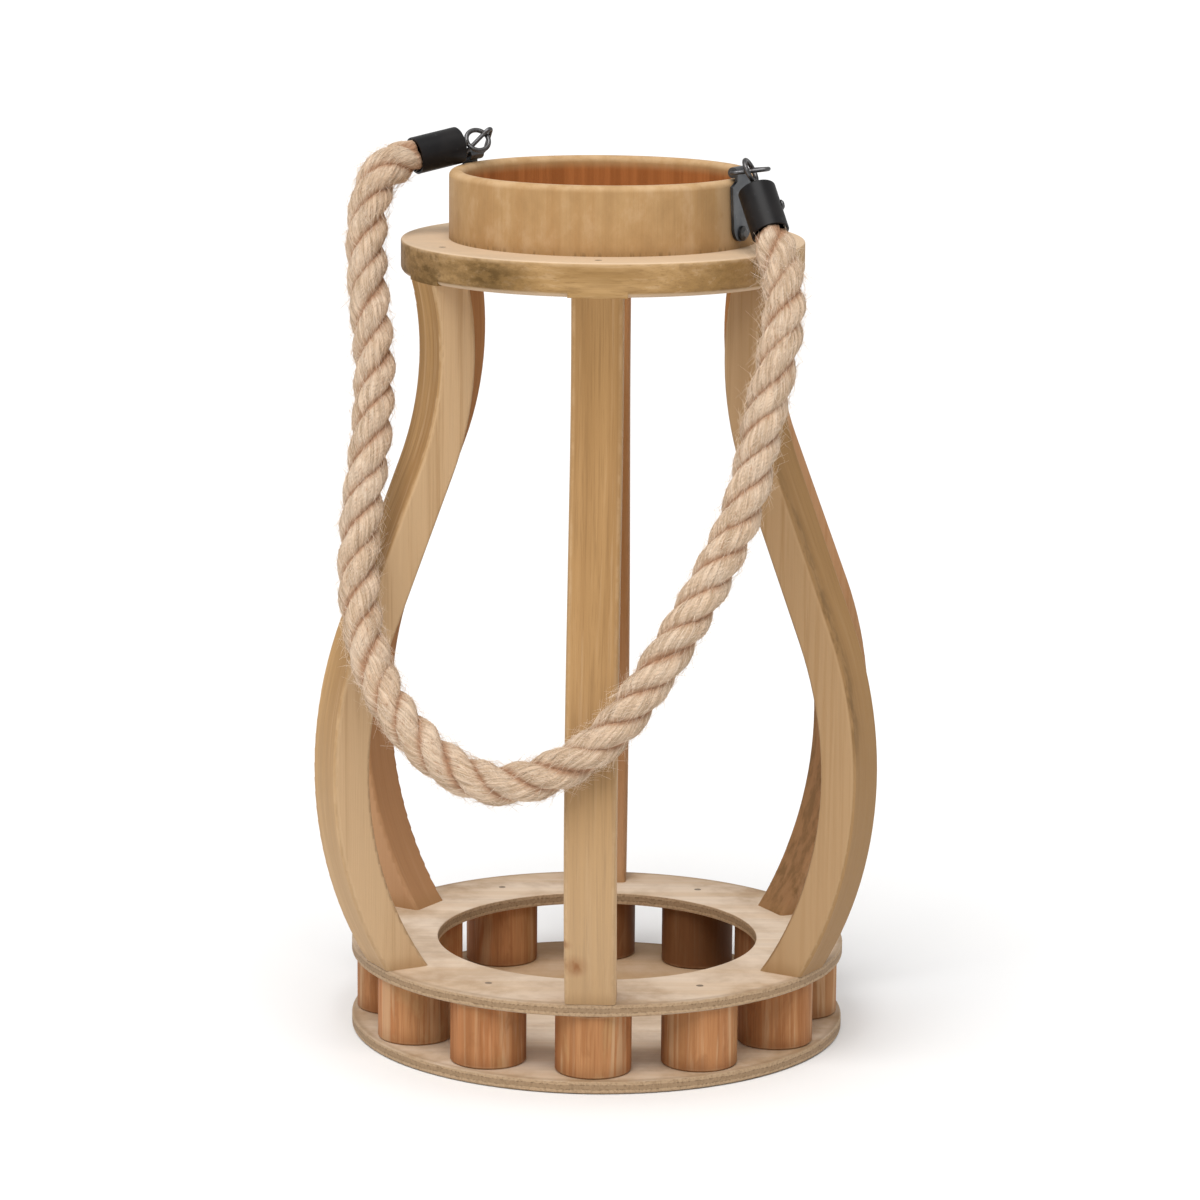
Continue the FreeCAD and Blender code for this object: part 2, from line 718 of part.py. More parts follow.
def eye(side):
    node = side + "_eye"
    body = new_body(node)
    ring = new_sketch(body, node + "_wire", "XZ_Plane")
    draw_circle(ring, "{eye_wire}", "0", "-{eye_ring}")
    turn(body, ring, "X_Axis")
    shank = new_sketch(body, node + "_shank", "XZ_Plane")
    tip = "-{eye_ring} - {eye_shank_length}"
    draw_outline(shank, [
        ("0", "-{eye_ring}"),
        ("{eye_shank}", "-{eye_ring}"),
        ("{eye_shank}", tip + " + 2 * {eye_shank}"),
        ("0", tip),
    ])
    turn(body, shank, "Z_Axis")
    body.Placement = eye_placement(side)
    part(node, body)


CAP_TOP = "-{cap_offset}"
CAP_MOUTH = "-{cap_offset} - {cap_length}"
CAP_ROOF = CAP_TOP + " - 2 * {cap_wall}"
CAP_SCREW_Z = "-{cap_offset} - {cap_screw_place}"


def cap_screw_profile(gap):
    """Half section of a set screw with a low head, as (distance from the cap's axis, from its own)."""
    wide, thin = "{cap_screw_head} + " + gap, "{cap_screw_radius} + " + gap
    return [
        ("{cap_radius} + {cap_screw_head_height}", "0"),
        ("{cap_radius} + {cap_screw_head_height}", "0.6 * {cap_screw_head}"),
        ("{cap_radius} + 0.4 * {cap_screw_head_height}", wide),
        ("{cap_radius}", wide),
        ("{cap_radius}", thin),
        ("{cap_radius} - {cap_screw_length} - " + gap, thin),
        ("{cap_radius} - {cap_screw_length} - " + gap, "0"),
    ]


def cap(side):
    node = side + "_cap"
    body = new_body(node)
    section = new_sketch(body, node + "_section", "XZ_Plane")
    bore, shell = "{eye_shank} + " + GAP, "{cap_radius} - {cap_wall}"
    draw_outline(section, [
        (bore, CAP_TOP),
        ("{cap_radius}", CAP_TOP),
        ("{cap_radius}", CAP_MOUTH),
        (shell, CAP_MOUTH),
        (shell, CAP_ROOF),
        (bore, CAP_ROOF),
    ])
    cup = turn(body, section, "Z_Axis")
    top = worked_out(CAP_TOP)
    soften(body, cup, node + "_shoulder", "{cap_edge_round}",
           lambda e: is_circle(e, size("cap_radius"), top))
    hole = new_sketch(body, node + "_hole", "XZ_Plane")
    draw_level(hole, cap_screw_profile(GAP), CAP_SCREW_Z)
    turn(body, hole, "own", "PartDesign::Groove")
    body.Placement = cap_placement(side)
    part(node, body)


def cap_screws():
    """One set screw through each cap's wall into the rope's end."""
    screws = []
    for side in SIDES:
        body = new_body(side + "_cap_screw")
        sketch = new_sketch(body, side + "_cap_screw_section", "XZ_Plane")
        draw_level(sketch, cap_screw_profile("0"), CAP_SCREW_Z)
        turn(body, sketch, "own")
        body.Placement = cap_placement(side)
        screws.append(body)
    group = doc.addObject("Part::Compound", "cap_screws")
    group.Links = screws
    part("cap_screws", group)


# Rope

def rope_points():
    """Corners of the rope's route, from the left cap's mouth to the right cap's mouth."""
    ends = []
    for side in ("left", "right"):
        place_on = eye_placement(side)
        mouth = worked_out(CAP_MOUTH)
        ends.append([place_on.multVec(Vector(0, 0, z)) for z in (mouth, mouth - size("rope_lead"))])
    return ends[0] + [Vector(*p) for p in ROPE_ROUTE] + ends[1][::-1]


def rope_path(points):
    """Straight runs joined by tangent arcs; gives the edges and the arcs' radii."""
    edges, radii = [], []
    last = points[0]
    for before, corner, after in zip(points, points[1:], points[2:]):
        back, ahead = before - corner, after - corner
        run = 0.45 * min(back.Length, ahead.Length)
        turned = math.pi - back.getAngle(ahead)
        radius = run / math.tan(turned / 2)
        start, finish = corner + back.normalize() * run, corner + ahead.normalize() * run
        bisector = (back + ahead).normalize()
        middle = corner + bisector * (radius / math.cos(turned / 2) - radius)
        edges.append(Part.LineSegment(last, start).toShape())
        edges.append(Part.Arc(start, middle, finish).toShape())
        radii.append(radius)
        last = finish
    edges.append(Part.LineSegment(last, points[-1]).toShape())
    return edges, radii


def rope_end(side):
    """Bound end of the rope inside its cap, bored for the eye's shank and the set screw."""
    gap, radius = size("fit_clearance"), size("cap_radius") - size("cap_wall")
    roof, mouth = worked_out(CAP_ROOF), worked_out(CAP_MOUTH)
    down = Vector(0, 0, -1)
    plug = Part.makeCylinder(radius - gap, roof - mouth - gap, Vector(0, 0, roof - gap), down)
    tip = size("eye_ring") + size("eye_shank_length") + gap
    bore = Part.makeCylinder(size("eye_shank") + gap, roof + tip, Vector(0, 0, roof), down)
    plug.Placement = eye_placement(side)
    bore.Placement = eye_placement(side)
    screw = Part.makeCylinder(size("cap_screw_radius") + gap, size("cap_screw_length") + gap,
                              Vector(size("cap_radius"), 0, worked_out(CAP_SCREW_Z)), Vector(-1, 0, 0))
    screw.Placement = cap_placement(side)
    return plug.cut([bore, screw])


def rope():
    points = rope_points()
    edges, radii = rope_path(points)
    path = Part.Wire(edges)
    radius = size("rope_radius")
    ring = Part.Wire(Part.Circle(points[0], points[1] - points[0], radius).toShape())
    tube = path.makePipeShell([ring], True, False)
    print("rope: arcs of", [round(r, 1) for r in radii])
    print("rope: length %.1f, volume over section times length %.4f"
          % (path.Length, tube.Volume / (math.pi * radius ** 2 * path.Length)))
    feature = doc.addObject("Part::Feature", "rope")
    feature.Shape = tube.fuse([rope_end(side) for side in SIDES]).removeSplitter()
    part("rope", feature)


base_disc()
pegs()
base_ring()
ribs()
top_ring()
collar()
for side in SIDES:
    plate(side)
    link(side)
    eye(side)
    cap(side)
plate_screws()
cap_screws()
rope()

doc.recompute()
os.makedirs("parts", exist_ok=True)
for thing in doc.Objects:
    if "Invalid" in thing.State or "Error" in thing.State:
        raise RuntimeError("%s did not build: %s" % (thing.Label, thing.State))
for thing in PARTS:
    shape = thing.Shape
    if shape.isNull() or not shape.isValid():
        raise RuntimeError("%s has no sound shape" % thing.Label)
    shape.exportStep("parts/%s.step" % thing.Label)
    print(thing.Label, len(shape.Solids), round(shape.Volume, 1))
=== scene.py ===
"""Finishes of the hurricane candle lantern: wood, plywood, jute rope and black metal on the CAD parts."""

import math
import random
from collections import namedtuple

import bpy
from mathutils import Matrix, Vector, noise


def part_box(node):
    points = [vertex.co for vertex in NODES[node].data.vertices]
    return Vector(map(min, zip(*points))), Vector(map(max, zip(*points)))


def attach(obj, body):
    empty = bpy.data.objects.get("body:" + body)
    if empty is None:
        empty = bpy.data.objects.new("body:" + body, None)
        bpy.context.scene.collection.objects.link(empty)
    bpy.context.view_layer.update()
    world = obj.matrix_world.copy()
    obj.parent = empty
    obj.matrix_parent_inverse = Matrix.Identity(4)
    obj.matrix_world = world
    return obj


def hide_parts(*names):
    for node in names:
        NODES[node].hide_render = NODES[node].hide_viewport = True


bl_info = {
    "name": "Hurricane Lantern Finishes",
    "version": (1, 0, 0),
    "blender": (4, 5, 0),
    "location": "3D View > Sidebar > Lantern",
    "description": "Dresses the lantern's parts in wood, jute and black metal and sets a studio round it",
    "category": "Object",
}

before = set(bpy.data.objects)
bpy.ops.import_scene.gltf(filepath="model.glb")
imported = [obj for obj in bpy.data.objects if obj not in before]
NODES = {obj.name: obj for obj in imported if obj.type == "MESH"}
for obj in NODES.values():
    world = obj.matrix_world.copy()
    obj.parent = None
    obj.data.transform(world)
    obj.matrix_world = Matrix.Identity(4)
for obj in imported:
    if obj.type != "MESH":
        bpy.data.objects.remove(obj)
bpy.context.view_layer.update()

PEGS = sorted(n for n in NODES if n.startswith("peg_"))
RIBS = sorted(n for n in NODES if n.startswith("rib_"))
PLATES = ["left_plate", "right_plate"]
CAPS = ["left_cap", "right_cap"]
EYES = ["left_eye", "right_eye"]
LINKS = ["left_link", "right_link"]
SCREWS = ["plate_screws", "cap_screws", "foot_screws"]
BRADS = ["lower_brads", "upper_brads", "top_brads"]

# Places on the lantern that the finishes follow, in metres and radians
RIB_START = math.radians(-91.4)
RIB_SPACING = math.radians(60)
RIB_HALF_WIDTH = 0.010
PLY_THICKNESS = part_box("base_disc")[1].z
RING_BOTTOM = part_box("base_ring")[0].z
BASE_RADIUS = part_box("base_disc")[1].x
DECK_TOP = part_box("top_ring")[1].z
RIM_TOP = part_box("collar")[1].z
COLLAR_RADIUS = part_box("collar")[1].x
PEG_MIDDLE = PLY_THICKNESS + (RING_BOTTOM - PLY_THICKNESS) / 2


# Shader expressions

# Shares of red, green and blue that make a colour warmer
WARMER = (1.0, 0.94, 0.86)

# Band that splits values between 0 and 1 softly in half
SOFT = (0.3, 0.7)


class Wire:
    """An output socket that takes part in Python arithmetic; each step adds a Math node."""

    def __init__(self, finish, socket):
        self.finish = finish
        self.socket = socket

    def maths(self, operation, *values):
        return self.finish.node("ShaderNodeMath", {"operation": operation}, dict(enumerate(values)))

    def __add__(self, other):
        return self.maths("ADD", self, other)

    def __sub__(self, other):
        return self.maths("SUBTRACT", self, other)

    def __rsub__(self, other):
        return self.maths("SUBTRACT", other, self)

    def __mul__(self, other):
        return self.maths("MULTIPLY", self, other)

    def __truediv__(self, other):
        return self.maths("DIVIDE", self, other)

    def __mod__(self, other):
        return self.maths("FLOORED_MODULO", self, other)

    def __pow__(self, other):
        return self.maths("POWER", self, other)

    def __abs__(self):
        return self.maths("ABSOLUTE", self)

    __radd__ = __add__
    __rmul__ = __mul__

    def over(self, start, end):
        """0 below start, 1 above end, with a soft step between."""
        settings = {"interpolation_type": "SMOOTHSTEP"}
        return self.finish.node("ShaderNodeMapRange", settings, {0: self, 1: start, 2: end})


class Finish:
    """A procedural material while its nodes are being joined up; pale is the colour of its light streaks."""

    def __init__(self, name, pale=(1.0, 1.0, 1.0)):
        self.pale = pale
        self.material = bpy.data.materials.new(name)
        self.material.use_nodes = True
        self.tree = self.material.node_tree
        self.shader = self.tree.nodes["Principled BSDF"]
        self.place = self.node("ShaderNodeTexCoord", output="Object")
        self.x = self.split(self.place, "X")
        self.y = self.split(self.place, "Y")
        self.z = self.split(self.place, "Z")

    def node(self, kind, settings=None, inputs=None, output=0):
        """Add a node: its type, its settings, then the values or links of its sockets."""
        node = self.tree.nodes.new(kind)
        for key, value in (settings or {}).items():
            setattr(node, key, value)
        for key, value in (inputs or {}).items():
            self.join(node.inputs[key], value)
        return Wire(self, node.outputs[output])

    def join(self, socket, value):
        """Link a wire to a socket, or set the socket's own value."""
        if isinstance(value, Wire):
            self.tree.links.new(value.socket, socket)
        else:
            socket.default_value = value

    def split(self, vector, axis):
        """One coordinate of a vector."""
        return self.node("ShaderNodeSeparateXYZ", None, {0: vector}, axis)

    def stretch(self, factors, vector=None):
        """The place on the part, squeezed along each axis by its factor."""
        settings = {"operation": "MULTIPLY"}
        return self.node("ShaderNodeVectorMath", settings, {0: vector or self.place, 1: factors})

    def drawn_out(self, share, vector=None):
        """The place on the part, squeezed along Z so that marks run up it."""
        return self.stretch((1.0, 1.0, share), vector)

    def noise(self, vector, scale, detail=3.0, rough=0.55, bend=0.0):
        """A noise pattern between 0 and 1."""
        values = {
            "Vector": vector,
            "Scale": scale,
            "Detail": detail,
            "Roughness": rough,
            "Distortion": bend,
        }
        return self.node("ShaderNodeTexNoise", None, values)

    def attribute(self, name, output):
        """A value stored on the mesh's points."""
        return self.node("ShaderNodeAttribute", {"attribute_name": name}, None, output)

    def blend(self, share, first, second):
        """Mix two colours; share 0 gives the first and 1 the second."""
        settings = {"data_type": "RGBA", "clamp_factor": True}
        return self.node("ShaderNodeMix", settings, {0: share, 6: first, 7: second}, 2)

    def radius(self):
        """Distance from the lantern's upright axis."""
        return (self.x * self.x + self.y * self.y) ** 0.5

    def near(self, point, reach):
        """1 at a point on the part, falling to 0 at that distance."""
        settings = {"operation": "DISTANCE"}
        apart = self.node("ShaderNodeVectorMath", settings, {0: self.place, 1: point}, "Value")
        return 1 - apart.over(0.0, reach)

    def upright(self):
        """How far the surface faces up or down, from 0 to 1."""
        return abs(self.split(self.node("ShaderNodeNewGeometry", output="Normal"), "Z"))

    def bump(self, height, strength, distance):
        """A normal that follows a height."""
        values = {"Strength": strength, "Distance": distance, "Height": height}
        return self.node("ShaderNodeBump", None, values)

    def paint(self, colour, roughness, normal, metallic=None, sheen=None):
        """Join the finished values to the shader; gives the material."""
        values = {
            "Base Color": colour,
            "Roughness": roughness,
            "Normal": normal,
            "Metallic": metallic,
            "Specular IOR Level": sheen,
        }
        for name, value in values.items():
            if value is not None:
                self.join(self.shader.inputs[name], value)
        return self.material


def shade(colour):
    """A colour property as the four numbers of a socket."""
    return (colour[0], colour[1], colour[2], 1.0)


def deeper(colour, share):
    """A colour at a share of its light, a little warmer; a share above 1 makes it paler."""
    red, green, blue = (part * share * warm for part, warm in zip(colour, WARMER))
    return (red, green, blue, 1.0)


def dress(names, material):
    """Give CAD parts a finish in the material slots that they have."""
    for name in names:
        part = NODES[name]
        if not part.material_slots:
            part.data.materials.append(material)
        for slot in part.material_slots:
            slot.material = material


# Wood

# A share says how much of a mark shows, and over() takes the band of noise or of metres where it comes in

# Squeeze of the grain along the axis that it follows
GRAIN = 0.022
ALONG_X = (GRAIN, 1.0, 1.0)

# Squeeze of the marks on the top ring
SMUDGE_STRETCH = (0.45, 0.8, 2.5)
SPECK_STRETCH = (0.5, 0.5, 1)

# Share of the ribs' depth that their grain follows on the faces between the sawn sides
RIB_FACE_GRAIN = 0.06

# Step of the grain from one rib to the next
RIB_GRAIN_STEP = 0.31

# Surface of all wood
WOOD_SHEEN = 0.10
WOOD_BUMP = (0.35, 0.0006)
WOOD_ROUGH_SPREAD = 0.16

# Noise patterns: scale, detail, roughness and bend
FIGURE = (85, 5, 0.62, 0.3)
STREAKS = (420, 4, 0.62, 0.2)
FIBRES = (1700, 2, 0.6)
STAIN = (36, 3, 0.5)
WEAR_PATCHES = (120, 4, 0.65)
DULLNESS = (240, 3)
SAW_MARKS = (300, 5, 0.66, 0.4)
RAGGED = (210, 4, 0.65)
SMUDGE = (42, 5, 0.62)
SPECKS = (330, 4, 0.68)
MOTTLE = (70, 5, 0.62)
LINING_STREAKS = (260, 4)
NICKS = (520, 3)
PEG_TONES = (11, 1)
PEG_PATCHES = (75, 4, 0.62, 0.4)
HEARTWOOD = (130, 4, 0.6, 0.6)
SOIL = (34, 5, 0.62)
PLY_WAVER = (90, 3)
END_GRAIN = (900, 2)

# Bands in metres over which a mark on the ribs comes in
RIB_SIDE = (RIB_HALF_WIDTH * 0.93, RIB_HALF_WIDTH * 0.99)
RIB_CORNER = (RIB_HALF_WIDTH * 0.78, RIB_HALF_WIDTH * 0.90)
PALE_FEET_Z = (0.05, 0.20)
FOOT_SEAM_Z = (RING_BOTTOM + 0.005, RING_BOTTOM + 0.012)
FRONT_RIB_X = (0.012, 0.020)
RIGHT_FRONT_X = (0.045, 0.055)
RIGHT_FRONT_Y = (-0.02, 0.0)
BARK_ACROSS = (RIB_HALF_WIDTH * 0.10, RIB_HALF_WIDTH * 0.80)
BARK_BOTTOM_Z = (0.11, 0.15)
BARK_TOP_Z = (0.22, 0.25)
BACK_RIBS_Y = (0.0, 0.02)
DARK_RIB_FOOT_X = (0.03, 0.05)
DARK_RIB_FOOT_TOP_Z = (0.10, 0.20)

# Bands in metres on the top ring, the collar and the pegs
RING_LIP_Z = (DECK_TOP - 0.0022, DECK_TOP - 0.0006)
COLLAR_WALL = (COLLAR_RADIUS - 0.0050, COLLAR_RADIUS - 0.0022)
LINING_TOP_Z = (RIM_TOP - 0.006, RIM_TOP - 0.0012)
COLLAR_RIM_Z = (RIM_TOP - 0.0030, RIM_TOP - 0.0006)
COLLAR_DARK_FOOT_Z = (DECK_TOP, DECK_TOP + 0.005)
COLLAR_SEAM_Z = (DECK_TOP + 0.0003, DECK_TOP + 0.0022)
PEG_ENDS = (0.0112, 0.0128)
PEG_DARK_FOOT_Z = (PLY_THICKNESS, PLY_THICKNESS + 0.008)
PEG_BACK_X = (-0.04, 0.05)
PEG_BACK_Y = (0.0, 0.045)

# Bands on the plywood, in metres, then in shares of its thickness from the middle
SOILED_RIM = (BASE_RADIUS - 0.030, BASE_RADIUS)
DARK_RIM = (BASE_RADIUS - 0.0035, BASE_RADIUS - 0.0006)
WELL_BACK_Y = (0.0, 0.035)
ABOVE_DISC_Z = (PLY_THICKNESS + 0.001, RING_BOTTOM)
PLY_CORE = (0.15, 0.19)
GLUE_START = (0.12, 0.16)
GLUE_END = (0.19, 0.23)
PLY_WAVER_SPREAD = 0.24

# Knots on the ribs: place and reach in metres
RIB_KNOTS = [
    ((-0.0085, -0.1094, 0.0540), 0.0068),
    ((-0.0115, -0.1110, 0.0640), 0.0035),
    ((-0.0990, -0.0520, 0.0640), 0.0018),
    ((0.0830, -0.0600, 0.2100), 0.0045),
    ((-0.1000, 0.0450, 0.1500), 0.0060),
]

# Smudges on the top ring: place and reach in metres, and share
RING_SMUDGES = [
    ((-0.044, -0.067, 0.314), 0.026, 0.95),
    ((-0.068, -0.042, 0.312), 0.034, 0.95),
    ((-0.078, -0.020, 0.312), 0.028, 0.80),
    ((0.046, -0.065, 0.310), 0.022, 0.45),
]


def wood_grain(finish, light, tint, place, share=0.45, lines=1.0, depth=0.74):
    """Sawn wood at a place squeezed along the grain; gives the colour and the surface height."""
    figure = finish.noise(place, *FIGURE)
    streaks = finish.noise(place, *STREAKS)
    fibres = finish.noise(place, *FIBRES)
    stain = finish.noise(place, *STAIN)
    colour = finish.blend(figure.over(0.36, 0.62), deeper(light, depth), shade(light))
    colour = finish.blend(stain.over(0.36, 0.70) * share, colour, shade(tint))
    colour = finish.blend(streaks.over(0.50, 0.66) * (0.55 * lines), colour, deeper(light, 0.58))
    colour = finish.blend((1 - streaks.over(0.34, 0.46)) * (0.30 * lines), colour, shade(finish.pale))
    colour = finish.blend(fibres.over(0.52, 0.70) * (0.40 * lines), colour, deeper(light, 0.46))
    height = figure * 0.4 + streaks * 0.5 + fibres * 0.4
    return colour, height


def wear(finish, colour, mask, pale, amount):
    """Edges rubbed paler, in patches."""
    patches = finish.noise(finish.place, *WEAR_PATCHES).over(0.40, 0.62)
    return finish.blend(mask * (patches * 0.7 + 0.3) * amount, colour, shade(pale))


def wood_finish(finish, colour, height, dull=0.56):
    """A waxed surface of uneven dullness; gives the material."""
    dullness = finish.noise(finish.place, *DULLNESS)
    roughness = dullness * WOOD_ROUGH_SPREAD + (dull - WOOD_ROUGH_SPREAD / 2)
    return finish.paint(colour, roughness, finish.bump(height, *WOOD_BUMP), sheen=WOOD_SHEEN)


def rib_board(finish):
    """Where a point lies on its rib: across the board, whether on a sawn side, and the place in the grain."""
    angle = finish.node("ShaderNodeMath", {"operation": "ARCTAN2"}, {0: finish.y, 1: finish.x})
    turned = angle - (RIB_START - RIB_SPACING / 2)
    across = finish.radius() * (turned % RIB_SPACING - RIB_SPACING / 2)
    side = abs(across).over(*RIB_SIDE)
    number = (turned - turned % RIB_SPACING) / RIB_SPACING
    depth = finish.radius() * (side * (1 - RIB_FACE_GRAIN) + RIB_FACE_GRAIN)
    board = {0: across + number * RIB_GRAIN_STEP, 1: depth, 2: finish.z * GRAIN}
    return across, side, finish.node("ShaderNodeCombineXYZ", None, board)


def right_front_rib(finish, wood, colour, across, side, ragged):
    """Painted shade makes the right front rib darker than the others, most on its outer face; a strip of bark
    runs on its corner.
    """
    right_front = finish.x.over(*RIGHT_FRONT_X) * (1 - finish.y.over(*RIGHT_FRONT_Y))
    # Painted shade on the right front rib, deeper on its face than on its sides
    colour = finish.blend(right_front * (0.72 - side * 0.27), colour, deeper(wood.rib, 0.58))
    bark = (0 - across).over(*BARK_ACROSS) * (1 - side) * right_front
    bark = bark * finish.z.over(*BARK_BOTTOM_Z) * (1 - finish.z.over(*BARK_TOP_Z))
    return finish.blend(bark * (ragged * 0.55 + 0.20), colour, deeper(wood.rib, 0.34))


def back_ribs(finish, wood, colour, ragged):
    """Painted shade makes the back ribs browner; the right one is also darker and mottled at its foot."""
    # Painted shade: the back ribs are blended towards the browner lining colour
    back = finish.y.over(*BACK_RIBS_Y)
    colour = finish.blend(back * 0.50, colour, deeper(wood.lining, 0.80))
    # The back right rib is darker and mottled towards its foot
    dark_rib_foot = back * finish.x.over(*DARK_RIB_FOOT_X) * (1 - finish.z.over(*DARK_RIB_FOOT_TOP_Z))
    return finish.blend(dark_rib_foot * (ragged * 0.45 + 0.35), colour, deeper(wood.rib, 0.38))


def rib_material(wood):
    """Grain along each rib's board, pale sawn sides, and the marks and painted shade of single ribs."""
    finish = Finish("rib_wood", wood.worn)
    across, side, place = rib_board(finish)
    colour, height = wood_grain(finish, wood.rib, wood.rib_stain, place)
    colour = finish.blend(side * 0.75, colour, shade(wood.worn))
    sawn = finish.noise(place, *SAW_MARKS).over(0.46, 0.66)
    colour = finish.blend(side * sawn * 0.45, colour, deeper(wood.rib, 0.72))
    corner = abs(across).over(*RIB_CORNER) * (1 - side)
    colour = wear(finish, colour, corner, wood.worn, amount=0.45)
    low = 1 - finish.z.over(*PALE_FEET_Z)
    colour = finish.blend(low * 0.55, colour, shade(wood.worn))
    ragged = finish.noise(finish.drawn_out(0.30), *RAGGED).over(0.40, 0.62)
    colour = right_front_rib(finish, wood, colour, across, side, ragged)
    front = 1 - abs(finish.x).over(*FRONT_RIB_X)
    colour = finish.blend(front * (1 - low) * 0.38, colour, deeper(wood.rib, 0.62))
    colour = back_ribs(finish, wood, colour, ragged)
    foot = 1 - finish.z.over(*FOOT_SEAM_Z)
    colour = finish.blend(foot * 0.35, colour, deeper(wood.rib, 0.60))
    for spot_place, reach in RIB_KNOTS:
        spot = finish.near(spot_place, reach) * (ragged * 0.5 + 0.6)
        colour = finish.blend(spot * 0.80, colour, deeper(wood.lining, 0.62))
    return wood_finish(finish, colour, height)


def ring_material(wood):
    """The top ring: pale on top, smudged dark on its edge."""
    finish = Finish("ring_wood", wood.worn)
    colour, height = wood_grain(finish, wood.ring, wood.rib_stain, finish.stretch(ALONG_X), share=0.6)
    edge = 1 - finish.upright().over(*SOFT)
    smudge = finish.noise(finish.stretch(SMUDGE_STRETCH), *SMUDGE).over(0.42, 0.68)
    colour = finish.blend(edge * smudge * 0.50, colour, deeper(wood.rib_stain, 0.75))
    specks = finish.noise(finish.stretch(SPECK_STRETCH), *SPECKS).over(0.42, 0.62)
    for place, reach, dark in RING_SMUDGES:
        spot = finish.near(place, reach) * (smudge * 0.30 + specks * 0.40 + 0.42)
        colour = finish.blend(spot * dark, colour, deeper(wood.rib_stain, 0.30))
    colour = finish.blend((1 - edge) * 0.55, colour, shade(wood.worn))
    colour = finish.blend((1 - edge) * 0.30, colour, shade(wood.veneer))
    lip = finish.z.over(*RING_LIP_Z) * edge
    colour = wear(finish, colour, lip, wood.worn, amount=0.5)
    return wood_finish(finish, colour, height, dull=0.58)


def collar_material(wood):
    """The collar: mottled outside, reddish inside, worn on its rim and nicked along its foot."""
    finish = Finish("collar_wood", wood.worn)
    place = finish.drawn_out(GRAIN)
    colour, height = wood_grain(finish, wood.collar, wood.ring, place, share=0.4, lines=0.20, depth=0.92)
    mottle = finish.noise(finish.drawn_out(0.6), *MOTTLE)
    colour = finish.blend(mottle.over(0.46, 0.66) * 0.40, colour, deeper(wood.collar, 0.70))
    colour = finish.blend((1 - mottle.over(0.34, 0.50)) * 0.35, colour, shade(wood.worn))
    inside = 1 - finish.radius().over(*COLLAR_WALL)
    streak = finish.noise(place, *LINING_STREAKS).over(0.35, 0.70)
    lining = finish.blend(streak, deeper(wood.lining, 0.72), shade(wood.lining))
    low = 1 - finish.z.over(*LINING_TOP_Z)
    colour = finish.blend(inside * low, colour, lining)
    rim = finish.z.over(*COLLAR_RIM_Z)
    colour = wear(finish, colour, rim, wood.worn, amount=0.55)
    # The collar is darker towards its foot on the ring
    dark_collar_foot = 1 - finish.z.over(*COLLAR_DARK_FOOT_Z)
    colour = finish.blend(dark_collar_foot * 0.30, colour, deeper(wood.collar, 0.5))
    nicks = finish.noise(finish.drawn_out(0.15), *NICKS).over(0.50, 0.62)
    seam = 1 - finish.z.over(*COLLAR_SEAM_Z)
    colour = finish.blend(seam * nicks * 0.45, colour, deeper(wood.collar, 0.32))
    return wood_finish(finish, colour, height, dull=0.55)


def peg_material(wood):
    """Reddish pegs, each in its own tone, with pale and dark heartwood, painted shade on the back ones and
    darker feet.
    """
    finish = Finish("peg_wood", wood.worn)
    colour, height = wood_grain(finish, wood.peg, wood.collar, finish.drawn_out(GRAIN), share=0.55)
    each = finish.noise(finish.drawn_out(0.02), *PEG_TONES).over(0.36, 0.64)
    colour = finish.blend(each * 0.50, colour, deeper(wood.peg, 0.66))
    patch = finish.noise(finish.drawn_out(0.45), *PEG_PATCHES)
    colour = finish.blend(patch.over(0.54, 0.68) * 0.45, colour, deeper(wood.peg, 0.52))
    colour = finish.blend((1 - patch.over(0.32, 0.44)) * 0.45, colour, shade(wood.collar))
    heart = finish.noise(finish.drawn_out(0.06), *HEARTWOOD)
    colour = finish.blend(heart.over(0.52, 0.62) * 0.45, colour, shade(wood.worn))
    colour = finish.blend((1 - heart.over(0.36, 0.46)) * 0.45, colour, deeper(wood.lining, 0.62))
    # Painted shade on the back pegs, deepest towards the right
    back = finish.y.over(*PEG_BACK_Y) * finish.x.over(*PEG_BACK_X)
    colour = finish.blend(back * 0.90, colour, deeper(wood.peg, 0.22))
    ends = abs(finish.z - PEG_MIDDLE).over(*PEG_ENDS)
    colour = wear(finish, colour, ends, wood.worn, amount=0.4)
    # Pegs darker in patches towards their feet on the disc
    dark_peg_foot = 1 - finish.z.over(*PEG_DARK_FOOT_Z)
    colour = finish.blend(dark_peg_foot * (patch * 0.8) * 0.9, colour, deeper(wood.peg, 0.35))
    return wood_finish(finish, colour, height, dull=0.6)


def ply_edge(finish, wood, bottom, ends):
    """The plywood's cut edge: three plies with a dark core and wavering glue lines."""
    level = (finish.z - bottom) / PLY_THICKNESS
    waver = finish.noise(finish.drawn_out(0.2), *PLY_WAVER) * PLY_WAVER_SPREAD - PLY_WAVER_SPREAD / 2
    from_core = abs(level + waver - 0.5)
    core = 1 - from_core.over(*PLY_CORE)
    glue = from_core.over(*GLUE_START) * (1 - from_core.over(*GLUE_END))
    cut = finish.blend(ends * 0.6, shade(wood.cut_edge), deeper(wood.cut_edge, 0.62))
    cut = finish.blend(core * 0.55, cut, deeper(wood.cut_edge, 0.55))
    return finish.blend(glue * (ends * 0.5 + 0.15), cut, deeper(wood.cut_edge, 0.28))


